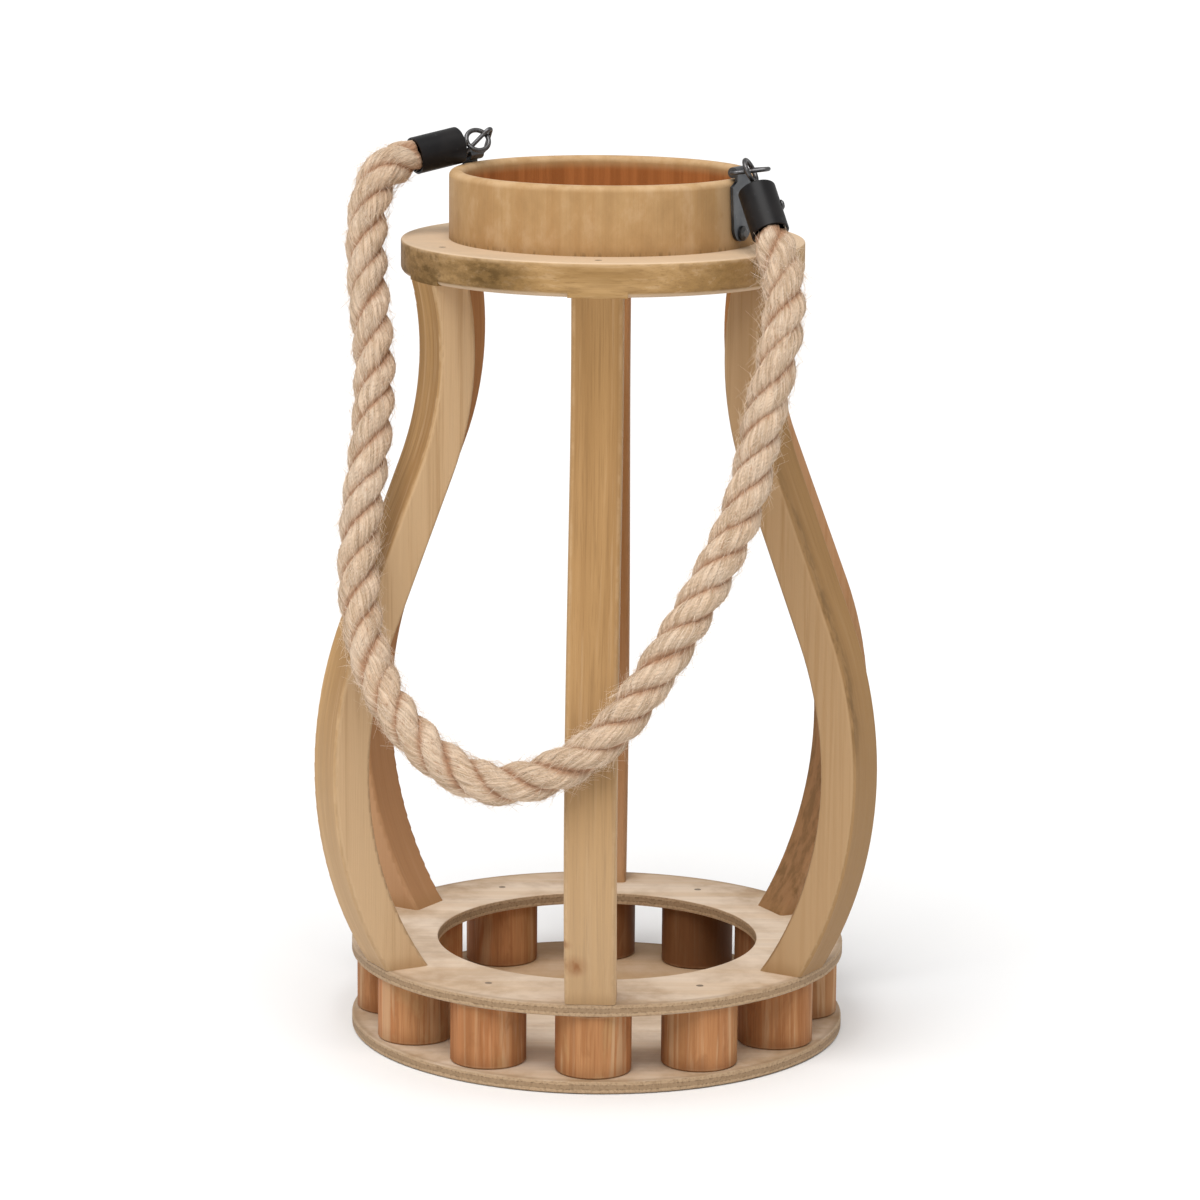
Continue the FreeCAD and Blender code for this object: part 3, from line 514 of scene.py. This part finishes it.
def plywood_material(wood, name, bottom):
    """Pale face veneer, soiled in places, with painted shade that makes it brown at the back of the well, and
    a cut edge.
    """
    finish = Finish(name, wood.veneer)
    place = finish.stretch(ALONG_X)
    colour, height = wood_grain(finish, wood.veneer, wood.collar, place, share=0.25, lines=0.28, depth=0.92)
    cloud = finish.noise(finish.place, *SOIL)
    outer = finish.radius().over(*SOILED_RIM)
    soil = cloud.over(0.40, 0.68) * 0.45 + outer * (cloud * 0.75)
    colour = finish.blend(soil, colour, deeper(wood.cut_edge, 0.85))
    # Painted shade on the disc at the back of the well
    well_shade = finish.y.over(*WELL_BACK_Y) * (1 - finish.z.over(*ABOVE_DISC_Z))
    colour = finish.blend(well_shade * (cloud * 0.4 + 0.45), colour, shade(wood.rib))
    ends = finish.noise(finish.place, *END_GRAIN).over(0.40, 0.70)
    edge = 1 - finish.upright().over(0.35, 0.75)
    colour = finish.blend(edge, colour, ply_edge(finish, wood, bottom, ends))
    rim = finish.radius().over(*DARK_RIM) * (1 - edge)
    colour = finish.blend(rim * 0.45, colour, deeper(wood.cut_edge, 0.55))
    return wood_finish(finish, colour, height + ends * edge * 0.6, dull=0.6)


# Metal

# Noise patterns: scale, detail and roughness
ENAMEL_SCUFFS = (420, 5, 0.7)
ENAMEL_CLOUD = (90, 3)
PLATE_BRUSHING = (700, 3)
PLATE_CLOUD = (130, 3)
PLATE_RUBBING = (380, 4, 0.7)
STEEL_CLOUD = (500, 4, 0.6)
STEEL_SPOTS = (1300, 3, 0.6)

# Strength and depth of the bumps
ENAMEL_BUMP = (0.12, 0.0004)
PLATE_BUMP = (0.10, 0.0003)
STEEL_BUMP = (0.2, 0.0003)

# How glossy and how far bare metal a surface is, and how dull it is at least
ENAMEL_SHEEN = 0.15
ENAMEL_ROUGH_SPREAD = 0.20
PLATE_METAL = 0.85
STEEL_METAL = 0.9
BRAD_METAL = 0.3
PLATE_ROUGH = 0.20
WIRE_ROUGH = 0.22
SCREW_ROUGH = 0.25
BRAD_ROUGH = 0.45


def enamel_material(metal):
    """Black enamel on the rope's caps, scuffed to grey in places."""
    finish = Finish("black_cap")
    scuffs = finish.noise(finish.place, *ENAMEL_SCUFFS).over(0.60, 0.74)
    cloud = finish.noise(finish.place, *ENAMEL_CLOUD)
    colour = finish.blend(cloud.over(*SOFT), shade(metal.enamel), deeper(metal.enamel, 1.7))
    colour = finish.blend(scuffs * 0.12, colour, shade(metal.scuff))
    least = metal.enamel_gloss - ENAMEL_ROUGH_SPREAD / 2
    roughness = cloud * ENAMEL_ROUGH_SPREAD + scuffs * 0.15 + least
    normal = finish.bump(cloud + scuffs * 0.4, *ENAMEL_BUMP)
    return finish.paint(colour, roughness, normal, sheen=ENAMEL_SHEEN)


def plate_material(metal):
    """Black plating with a cold sheen, rubbed bright in places."""
    finish = Finish("black_plate")
    brushed = finish.noise(finish.drawn_out(0.12), *PLATE_BRUSHING)
    cloud = finish.noise(finish.place, *PLATE_CLOUD)
    colour = finish.blend(cloud.over(*SOFT), shade(metal.plating), deeper(metal.plating, 2.0))
    rubbed = finish.noise(finish.place, *PLATE_RUBBING).over(0.60, 0.72)
    colour = finish.blend(rubbed * 0.5, colour, shade(metal.scuff))
    roughness = brushed * 0.18 + cloud * 0.12 + PLATE_ROUGH
    return finish.paint(colour, roughness, finish.bump(brushed + cloud, *PLATE_BUMP), PLATE_METAL)


def steel_material(name, colour, rust, rough, bare=STEEL_METAL):
    """Clouded steel with spots of tarnish."""
    finish = Finish(name)
    cloud = finish.noise(finish.place, *STEEL_CLOUD)
    spots = finish.noise(finish.place, *STEEL_SPOTS).over(0.55, 0.72)
    tone = finish.blend(cloud.over(*SOFT), deeper(colour, 0.6), shade(colour))
    tone = finish.blend(spots * 0.5, tone, shade(rust))
    roughness = cloud * 0.25 + spots * 0.2 + rough
    return finish.paint(tone, roughness, finish.bump(cloud + spots * 0.5, *STEEL_BUMP), bare)


# Rope

# Route of the hanging rope in metres, from the left cap's mouth to the right cap's mouth
ROPE_ROUTE = [
    (-0.0750, 0.0102, 0.3524),
    (-0.0845, 0.0050, 0.3504),
    (-0.0920, -0.0010, 0.3400),
    (-0.0935, -0.0110, 0.3205),
    (-0.0915, -0.0220, 0.2980),
    (-0.0885, -0.0330, 0.2770),
    (-0.0890, -0.0470, 0.2500),
    (-0.0930, -0.0590, 0.2210),
    (-0.0940, -0.0690, 0.1900),
    (-0.0880, -0.0860, 0.1670),
    (-0.0770, -0.1040, 0.1500),
    (-0.0580, -0.1185, 0.1340),
    (-0.0370, -0.1260, 0.1280),
    (-0.0150, -0.1300, 0.1355),
    (0.0050, -0.1305, 0.1495),
    (0.0250, -0.1260, 0.1785),
    (0.0420, -0.1155, 0.2070),
    (0.0550, -0.1020, 0.2330),
    (0.0615, -0.0910, 0.2660),
    (0.0670, -0.0845, 0.2880),
    (0.0700, -0.0710, 0.3090),
    (0.0671, -0.0599, 0.3219),
    (0.0642, -0.0535, 0.3304),
]
SPLINE_ORDER = 3
SPLINE_STEPS = 18

# Strands and their yarns; a yarn's turn is in radians for each lay
STRAND_COUNT = 3
STRAND_SIDES = 44
YARN_COUNT = 11
YARN_TURN = 4.4
YARN_STRAY = 1.5

# Noise that strands follow: its rate along the rope and round a strand, and its step between strands
WANDER_RATE = 38
WANDER_STEP = 5
LUMP_RATE = 45
LUMP_STEP = 7
LUMP_ROUND = 3
FINE_RATE = 3.5
FINE_SHARE = 0.6

# Loose hairs: angles in radians, ways as shares of a unit length, sizes as shares of the longest and thickest
HAIR_SEED = 11
HAIR_STEPS = 2
HAIR_SIDES = 3
HAIR_TAPER = 0.7
HAIR_ROOT = 0.97
HAIR_TILT = 1.1
HAIR_LEAN = (0.5, 1.6)
HAIR_STRAY = 0.9
STANDING_EVERY = 3
STANDING_LIFT = (0.25, 0.9)
LYING_LIFT = (0.02, 0.25)
CURL_OUT = (-0.9, 0.5)
CURL_SIDE = 0.7
CURL_SHARE = 0.5
HAIR_LENGTHS = (0.35, 1.0)
HAIR_WIDTHS = (0.6, 1.2)

# Noise patterns of the jute: scale, detail, roughness and bend
JUTE_FIBRES = (2400, 3, 0.65)
JUTE_BUNDLES = (800, 3, 0.6, 0.3)
JUTE_PITS = (1100, 3, 0.6, 0.5)
JUTE_CLOUD = (55, 3)
HAIR_TONES = (300, 2)

# Surface of the jute and of the hairs; the groove is a band of the rope's radius
JUTE_BUMP = (0.9, 0.0012)
HAIR_BUMP = (0.1, 0.0001)
JUTE_SHEEN = 0.15
HAIR_SHEEN = 0.2
JUTE_ROUGH = 0.80
HAIR_ROUGH = 0.7
GROOVE = (0.68, 0.91)

# A place on the rope's line: the way along, two ways across, and the length so far
Step = namedtuple("Step", "point along across up so_far")


def rope_line():
    """Points along the rope's smooth line, read from the spline that the route's points control."""
    curve = bpy.data.curves.new("rope_line", "CURVE")
    curve.dimensions = "3D"
    spline = curve.splines.new("NURBS")
    spline.points.add(len(ROPE_ROUTE) - 1)
    for point, place in zip(spline.points, ROPE_ROUTE):
        point.co = (*place, 1.0)
    spline.order_u = SPLINE_ORDER
    spline.use_endpoint_u = True
    spline.resolution_u = SPLINE_STEPS
    holder = bpy.data.objects.new("rope_line", curve)
    bpy.context.scene.collection.objects.link(holder)
    bpy.context.view_layer.update()
    mesh = bpy.data.meshes.new_from_object(holder)
    points = [v.co.copy() for v in mesh.vertices]
    bpy.data.meshes.remove(mesh)
    bpy.data.objects.remove(holder)
    bpy.data.curves.remove(curve)
    return points


def rope_steps(points):
    """The steps along the line, with ways across that don't twist."""
    steps = []
    across = Vector((0, 0, 1))
    so_far = 0.0
    for i, point in enumerate(points):
        before = points[max(i - 1, 0)]
        after = points[min(i + 1, len(points) - 1)]
        along = (after - before).normalized()
        across = (across - along * across.dot(along)).normalized()
        if i:
            so_far += (point - points[i - 1]).length
        steps.append(Step(point, along, across, along.cross(across), so_far))
    return steps


def swell(so_far, whole, rope):
    """The rope is squeezed thinner where it enters a cap."""
    from_end = min(so_far, whole - so_far)
    rise = min(max(from_end / rope.squeeze, 0.0), 1.0)
    return rope.bound + (1 - rope.bound) * rise * rise * (3 - 2 * rise)


def strand_centre(step, strand, rope, whole):
    """Where a strand's middle is at one step, the way out to it, and how thick the rope is there."""
    thick = swell(step.so_far, whole, rope)
    wander = rope.wander * noise.noise(Vector((WANDER_STEP * strand, 0, WANDER_RATE * step.so_far)))
    turn = 2 * math.pi * (step.so_far / rope.lay_length + strand / STRAND_COUNT + wander)
    out = step.across * math.cos(turn) + step.up * math.sin(turn)
    offset = (rope.radius - rope.strand_radius) * thick
    return step.point + out * offset, out, thick


def strand_ring(step, strand, rope, whole):
    """One ring of a strand's skin, lobed by its yarns, and what its fibres follow."""
    centre, _, thick = strand_centre(step, strand, rope, whole)
    ring, fibre, ridges = [], [], []
    onward = LUMP_RATE * step.so_far + LUMP_STEP * strand
    for side in range(STRAND_SIDES):
        angle = 2 * math.pi * side / STRAND_SIDES
        around = angle + YARN_TURN * step.so_far / rope.lay_length
        spot = Vector((LUMP_ROUND * math.cos(around), LUMP_ROUND * math.sin(around), onward))
        uneven = noise.noise(spot) + FINE_SHARE * noise.noise(spot * FINE_RATE)
        ridge = math.cos(YARN_COUNT * around + YARN_STRAY * uneven)
        reach = rope.strand_radius * thick * (1 + ridge * rope.yarn_depth + uneven * rope.unevenness)
        ridges.append(ridge / 2 + 0.5)
        ring.append(centre + (step.across * math.cos(angle) + step.up * math.sin(angle)) * reach)
        fibre.append((math.cos(around) * reach, math.sin(around) * reach, step.so_far + strand))
    return ring, fibre, ridges


def tube_faces(first, rings, sides):
    """Faces of a closed tube, given the number of its first point."""
    faces = []
    for row in range(rings - 1):
        low = first + row * sides
        high = low + sides
        for side in range(sides):
            ahead = (side + 1) % sides
            faces.append((low + side, low + ahead, high + ahead, high + side))
    last = first + (rings - 1) * sides
    faces.append(tuple(range(first + sides - 1, first - 1, -1)))
    faces.append(tuple(range(last, last + sides)))
    return faces


def smooth_mesh(name, verts, faces):
    """A mesh with smooth shading."""
    mesh = bpy.data.meshes.new(name)
    mesh.from_pydata(verts, [], faces)
    mesh.shade_smooth()
    return mesh


def add_attribute(mesh, name, kind, field, values):
    """Store a value on each of the mesh's points, for its material."""
    mesh.attributes.new(name, kind, "POINT")
    mesh.attributes[name].data.foreach_set(field, values)


def strand_mesh(steps, rope):
    """The rope's strands, with what their material follows stored on the points."""
    verts, faces, fibres, grooves, ridges = [], [], [], [], []
    whole = steps[-1].so_far
    for strand in range(STRAND_COUNT):
        faces += tube_faces(len(verts), len(steps), STRAND_SIDES)
        for step in steps:
            ring, fibre, ridge = strand_ring(step, strand, rope, whole)
            verts += ring
            fibres += fibre
            ridges += ridge
            grooves += [(p - step.point).length / rope.radius for p in ring]
    mesh = smooth_mesh("rope_strands", verts, faces)
    add_attribute(mesh, "fibre", "FLOAT_VECTOR", "vector", [x for f in fibres for x in f])
    add_attribute(mesh, "outward", "FLOAT", "value", grooves)
    add_attribute(mesh, "yarn", "FLOAT", "value", ridges)
    return mesh


def hair_points(root, way, curl, length, thickness):
    """Corners of a three-sided hair that thins to its tip."""
    side = way.orthogonal().normalized()
    up = way.cross(side)
    points = []
    for i in range(HAIR_STEPS + 1):
        share = i / HAIR_STEPS
        middle = root + way * (length * share) + curl * (length * share * share)
        reach = thickness * (1 - HAIR_TAPER * share) / 2
        for corner in range(HAIR_SIDES):
            angle = 2 * math.pi * corner / HAIR_SIDES
            points.append(middle + (side * math.cos(angle) + up * math.sin(angle)) * reach)
    return points


def fuzz_mesh(steps, rope):
    """Loose jute hairs that stand out from the strands."""
    dice = random.Random(HAIR_SEED)
    whole = steps[-1].so_far
    verts, faces = [], []
    inner = [s for s in steps if min(s.so_far, whole - s.so_far) > rope.squeeze]
    for hair in range(rope.hairs):
        step = dice.choice(inner)
        strand = dice.randrange(STRAND_COUNT)
        centre, out, _ = strand_centre(step, strand, rope, whole)
        side = step.along.cross(out)
        tilt = dice.uniform(-HAIR_TILT, HAIR_TILT)
        root_way = (out * math.cos(tilt) + side * math.sin(tilt)).normalized()
        root = centre + root_way * rope.strand_radius * HAIR_ROOT
        onward = step.along * dice.choice((-1, 1)) * dice.uniform(*HAIR_LEAN)
        lean = onward + side * dice.uniform(-HAIR_STRAY, HAIR_STRAY)
        standing = hair % STANDING_EVERY == 0
        lift = dice.uniform(*(STANDING_LIFT if standing else LYING_LIFT))
        way = (root_way * lift + lean).normalized()
        outward = root_way * dice.uniform(*CURL_OUT)
        curl = (outward + side * dice.uniform(-CURL_SIDE, CURL_SIDE)) * CURL_SHARE
        length = rope.hair_length * dice.uniform(*HAIR_LENGTHS)
        thickness = rope.hair_width * dice.uniform(*HAIR_WIDTHS)
        faces += tube_faces(len(verts), HAIR_STEPS + 1, HAIR_SIDES)
        verts += hair_points(root, way, curl, length, thickness)
    return smooth_mesh("rope_fuzz", verts, faces)


def jute_material(rope):
    """Twisted yarns of pale and brown fibres, with painted shade between the strands, between the yarns and
    in small pits.
    """
    finish = Finish("jute")
    fibre = finish.attribute("fibre", "Vector")
    outward = finish.attribute("outward", "Fac")
    yarn = finish.attribute("yarn", "Fac")
    lengthwise = finish.drawn_out(0.05, fibre)
    hairs = finish.noise(lengthwise, *JUTE_FIBRES)
    bundles = finish.noise(lengthwise, *JUTE_BUNDLES)
    cloud = finish.noise(finish.place, *JUTE_CLOUD)
    colour = finish.blend(bundles.over(0.36, 0.62), deeper(rope.jute, 0.66), shade(rope.jute))
    # Painted shade in the valleys between the yarns
    yarn_valley_shade = (1 - yarn.over(0.05, 0.45)) * (bundles * 0.6)
    colour = finish.blend(yarn_valley_shade, colour, deeper(rope.jute, 0.50))
    colour = finish.blend(hairs.over(0.54, 0.66) * 0.65, colour, shade(rope.hair))
    colour = finish.blend((1 - hairs.over(0.30, 0.44)) * 0.55, colour, deeper(rope.jute, 0.46))
    colour = finish.blend(cloud.over(0.45, 0.7) * 0.25, colour, shade(rope.hair))
    # Painted shade: small dark pits in the colour of the shade between the strands
    pits = finish.noise(finish.drawn_out(0.25, fibre), *JUTE_PITS).over(0.60, 0.70)
    colour = finish.blend(pits * 0.60, colour, shade(rope.groove))
    deep = 1 - outward.over(*GROOVE)
    colour = finish.blend(deep * (hairs * 1.1 + 0.25), colour, shade(rope.groove))
    height = hairs * 0.8 + bundles + yarn * 0.4
    roughness = hairs * 0.15 + JUTE_ROUGH
    return finish.paint(colour, roughness, finish.bump(height, *JUTE_BUMP), sheen=JUTE_SHEEN)


def hair_material(rope):
    """Loose hairs between the jute's own colour and its pale fibres."""
    finish = Finish("jute_hair")
    tone = finish.noise(finish.place, *HAIR_TONES)
    colour = finish.blend(tone.over(0.35, 0.65), shade(rope.jute), shade(rope.hair))
    roughness = tone * 0.2 + HAIR_ROUGH
    return finish.paint(colour, roughness, finish.bump(tone, *HAIR_BUMP), sheen=HAIR_SHEEN)


# Settings that a user would change

def colour_property(name, description, default):
    return bpy.props.FloatVectorProperty(
        name=name, description=description, default=default, subtype="COLOR", size=3, min=0, max=1)


def length_property(name, description, default):
    return bpy.props.FloatProperty(
        name=name, description=description, default=default, subtype="DISTANCE", unit="LENGTH", precision=5)


def share_property(name, description, default):
    return bpy.props.FloatProperty(
        name=name, description=description, default=default, subtype="FACTOR", min=0, max=2)


def strength_property(name, description, default):
    return bpy.props.FloatProperty(name=name, description=description, default=default, min=0)


def angle_property(name, description, default):
    return bpy.props.FloatProperty(
        name=name, description=description, default=default, subtype="ANGLE", unit="ROTATION")


class LanternWood(bpy.types.PropertyGroup):
    """Colours of the lantern's wood"""

    rib: colour_property("Rib", "Waxed wood of the ribs", (0.44, 0.258, 0.108))
    rib_stain: colour_property("Stain", "Olive tint in the wood", (0.335, 0.196, 0.066))
    ring: colour_property("Top ring", "Wood of the top ring", (0.47, 0.295, 0.134))
    collar: colour_property("Collar", "Wood of the collar's outside", (0.435, 0.266, 0.121))
    lining: colour_property("Lining", "Wood inside the collar", (0.38, 0.132, 0.038))
    peg: colour_property("Peg", "Reddish wood of the pegs", (0.49, 0.212, 0.088))
    veneer: colour_property("Veneer", "Face of the plywood", (0.78, 0.65, 0.52))
    cut_edge: colour_property("Cut edge", "Edge of the plywood", (0.43, 0.298, 0.183))
    worn: colour_property("Worn", "Rubbed edges", (0.58, 0.40, 0.235))


class LanternMetal(bpy.types.PropertyGroup):
    """Colours and gloss of the lantern's metal"""

    enamel: colour_property("Enamel", "Black enamel of the caps", (0.008, 0.0075, 0.008))
    enamel_gloss: share_property("Enamel roughness", "Roughness of the enamel", 0.40)
    plating: colour_property("Plating", "Black plating of the strap plates", (0.050, 0.055, 0.062))
    scuff: colour_property("Scuff", "Bare grey where metal is rubbed", (0.22, 0.22, 0.23))
    wire: colour_property("Wire", "Dark steel of links and eyes", (0.13, 0.13, 0.135))
    screw: colour_property("Screw", "Blackened steel of the screws", (0.10, 0.10, 0.10))
    brad: colour_property("Brad", "Dull steel of the brads", (0.30, 0.225, 0.155))
    rust: colour_property("Tarnish", "Brown tarnish on steel", (0.10, 0.06, 0.04))


class LanternRope(bpy.types.PropertyGroup):
    """Sizes and colours of the rope"""

    radius: length_property("Radius", "Radius round all the strands", 0.0082)
    strand_radius: length_property("Strand radius", "Radius of one strand", 0.0050)
    lay_length: length_property("Lay length", "Length in which a strand goes once round", 0.043)
    squeeze: length_property("Squeeze", "Length over which a cap squeezes the rope", 0.007)
    bound: share_property("Bound share", "Share of its radius that the rope has in a cap", 0.78)
    yarn_depth: share_property("Yarn depth", "Depth of the lobes of the yarns", 0.022)
    unevenness: share_property("Unevenness", "How uneven the yarns are", 0.07)
    wander: share_property("Wander", "Share of a turn by which a strand strays", 0.06)
    hairs: bpy.props.IntProperty(name="Hairs", description="Number of loose hairs", default=11000, min=0)
    hair_length: length_property("Hair length", "Longest loose hair", 0.0080)
    hair_width: length_property("Hair width", "Thickness of a loose hair", 0.00014)
    jute: colour_property("Jute", "Colour of the strands", (0.71, 0.525, 0.370))
    hair: colour_property("Hair", "Pale fibres", (0.84, 0.70, 0.56))
    groove: colour_property("Groove", "Shade between the strands", (0.38, 0.19, 0.10))


class LanternStage(bpy.types.PropertyGroup):
    """Studio round the lantern"""

    floor: colour_property("Floor", "Pale floor", (0.82, 0.82, 0.82))
    key: strength_property("Key light", "Strength of the soft key light", 2.9)
    softness: angle_property("Softness", "Width of the key light as seen from the lantern", math.radians(50))
    room: strength_property("Room light", "Strength of the light all round", 0.62)


# Studio

# Camera in metres, degrees and millimetres of lens
CAMERA_PLACE = (0.0, -1.74638, 0.52938)
CAMERA_PITCH = 11.459
CAMERA_ROLL = 0.493
CAMERA_LENS = 132.89
CAMERA_SENSOR = 36
CAMERA_REACH = 50

# Where the key light stands and what it shines at
KEY_PLACE = Vector((-0.30, -1.05, 2.15))
KEY_TARGET = Vector((0, 0, 0.17))

# Floor, a little below the lantern's rest face
FLOOR_HALF = 40.0
FLOOR_DROP = 0.0003
FLOOR_TONES = (3, 2)
FLOOR_BUMP = (0.02, 0.001)
FLOOR_ROUGH = 0.6


def add_camera(context):
    """The camera that fits the photograph."""
    data = bpy.data.cameras.new("camera")
    data.sensor_fit = "HORIZONTAL"
    data.sensor_width = CAMERA_SENSOR
    data.lens = CAMERA_LENS
    data.clip_end = CAMERA_REACH
    camera = bpy.data.objects.new("camera", data)
    context.scene.collection.objects.link(camera)
    tilt = Matrix.Rotation(math.radians(90 - CAMERA_PITCH), 4, "X")
    roll = Matrix.Rotation(math.radians(CAMERA_ROLL), 4, "Z")
    camera.matrix_world = Matrix.Translation(CAMERA_PLACE) @ tilt @ roll
    context.scene.camera = camera


def floor_material(settings):
    """A pale floor of almost one tone."""
    finish = Finish("floor")
    tone = finish.noise(finish.place, *FLOOR_TONES)
    pale = shade(settings.floor)
    colour = finish.blend(tone.over(*SOFT) * 0.15, pale, deeper(settings.floor, 0.97))
    return finish.paint(colour, tone * 0.1 + FLOOR_ROUGH, finish.bump(tone, *FLOOR_BUMP))


def add_floor(context, settings):
    """A wide floor under the lantern, part of the studio only."""
    mesh = bpy.data.meshes.new("floor")
    corners = [(-1, -1), (1, -1), (1, 1), (-1, 1)]
    mesh.from_pydata([(x * FLOOR_HALF, y * FLOOR_HALF, 0) for x, y in corners], [], [(0, 1, 2, 3)])
    floor = bpy.data.objects.new("floor", mesh)
    floor.location.z = -FLOOR_DROP
    context.scene.collection.objects.link(floor)
    mesh.materials.append(floor_material(settings))


def add_light(context, settings):
    """A wide soft light from the front left, high up."""
    data = bpy.data.lights.new("key_light", "SUN")
    data.energy = settings.key
    data.angle = settings.softness
    light = bpy.data.objects.new("key_light", data)
    light.rotation_euler = (KEY_TARGET - KEY_PLACE).to_track_quat("-Z", "Y").to_euler()
    light.location = KEY_PLACE
    context.scene.collection.objects.link(light)


def add_room(context, settings):
    """Even white light all round."""
    world = context.scene.world or bpy.data.worlds.new("studio")
    context.scene.world = world
    world.use_nodes = True
    background = world.node_tree.nodes["Background"]
    background.inputs["Color"].default_value = (1, 1, 1, 1)
    background.inputs["Strength"].default_value = settings.room
    context.scene.view_settings.view_transform = "Standard"
    context.scene.view_settings.look = "None"


# Operators

class LANTERN_OT_stage(bpy.types.Operator):
    """Make the camera, the floor and the soft lights"""

    bl_idname = "lantern.stage"
    bl_label = "Studio"

    def execute(self, context):
        settings = context.scene.lantern_stage
        add_camera(context)
        add_floor(context, settings)
        add_light(context, settings)
        add_room(context, settings)
        return {"FINISHED"}


class LANTERN_OT_rope(bpy.types.Operator):
    """Lay the three-strand rope along its route, with its loose hairs"""

    bl_idname = "lantern.rope"
    bl_label = "Rope"

    def execute(self, context):
        rope = context.scene.lantern_rope
        steps = rope_steps(rope_line())
        strands = bpy.data.objects.new("rope_strands", strand_mesh(steps, rope))
        fuzz = bpy.data.objects.new("rope_fuzz", fuzz_mesh(steps, rope))
        strands.data.materials.append(jute_material(rope))
        fuzz.data.materials.append(hair_material(rope))
        for piece in (strands, fuzz):
            context.scene.collection.objects.link(piece)
            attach(piece, "handle")
        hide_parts("rope")
        return {"FINISHED"}


class LANTERN_OT_base(bpy.types.Operator):
    """Finish the base's two plywood rounds and its pegs"""

    bl_idname = "lantern.base"
    bl_label = "Base"

    def execute(self, context):
        wood = context.scene.lantern_wood
        dress(["base_disc"], plywood_material(wood, "plywood_disc", 0.0))
        dress(["base_ring"], plywood_material(wood, "plywood_ring", RING_BOTTOM))
        dress(PEGS, peg_material(wood))
        return {"FINISHED"}


class LANTERN_OT_ribs(bpy.types.Operator):
    """Finish the six ribs"""

    bl_idname = "lantern.ribs"
    bl_label = "Ribs"

    def execute(self, context):
        dress(RIBS, rib_material(context.scene.lantern_wood))
        return {"FINISHED"}


class LANTERN_OT_top(bpy.types.Operator):
    """Finish the top ring and the collar"""

    bl_idname = "lantern.top"
    bl_label = "Top ring and collar"

    def execute(self, context):
        wood = context.scene.lantern_wood
        dress(["top_ring"], ring_material(wood))
        dress(["collar"], collar_material(wood))
        return {"FINISHED"}


class LANTERN_OT_fittings(bpy.types.Operator):
    """Finish the plates, links, eyes, caps, screws and brads"""

    bl_idname = "lantern.fittings"
    bl_label = "Metal fittings"

    def execute(self, context):
        metal = context.scene.lantern_metal
        dress(PLATES, plate_material(metal))
        dress(CAPS, enamel_material(metal))
        dress([*LINKS, *EYES], steel_material("wire_steel", metal.wire, metal.rust, WIRE_ROUGH))
        dress(SCREWS, steel_material("screw_steel", metal.screw, metal.rust, SCREW_ROUGH))
        dress(BRADS, steel_material("brad_steel", metal.brad, metal.rust, BRAD_ROUGH, BRAD_METAL))
        return {"FINISHED"}


class LANTERN_PT_finishes(bpy.types.Panel):
    """Sidebar list of the lantern's operators and settings"""

    bl_idname = "LANTERN_PT_finishes"
    bl_label = "Hurricane lantern"
    bl_space_type = "VIEW_3D"
    bl_region_type = "UI"
    bl_category = "Lantern"

    def draw(self, context):
        for operator in OPERATORS:
            self.layout.operator(operator.bl_idname)
        for group in GROUPS:
            settings = getattr(context.scene, group)
            box = self.layout.box()
            for name in settings.bl_rna.properties.keys():
                if name not in ("rna_type", "name"):
                    box.prop(settings, name)


GROUPS = {
    "lantern_wood": LanternWood,
    "lantern_metal": LanternMetal,
    "lantern_rope": LanternRope,
    "lantern_stage": LanternStage,
}
OPERATORS = [
    LANTERN_OT_stage,
    LANTERN_OT_rope,
    LANTERN_OT_base,
    LANTERN_OT_ribs,
    LANTERN_OT_top,
    LANTERN_OT_fittings,
]


def register():
    for kind in [*GROUPS.values(), *OPERATORS, LANTERN_PT_finishes]:
        bpy.utils.register_class(kind)
    for name, kind in GROUPS.items():
        setattr(bpy.types.Scene, name, bpy.props.PointerProperty(type=kind))


def unregister():
    for name in GROUPS:
        delattr(bpy.types.Scene, name)
    for kind in reversed([*GROUPS.values(), *OPERATORS, LANTERN_PT_finishes]):
        bpy.utils.unregister_class(kind)


def main():
    register()
    bpy.ops.lantern.stage()
    bpy.ops.lantern.rope()
    bpy.ops.lantern.base()
    bpy.ops.lantern.ribs()
    bpy.ops.lantern.top()
    bpy.ops.lantern.fittings()


if __name__ == "__main__":
    main()
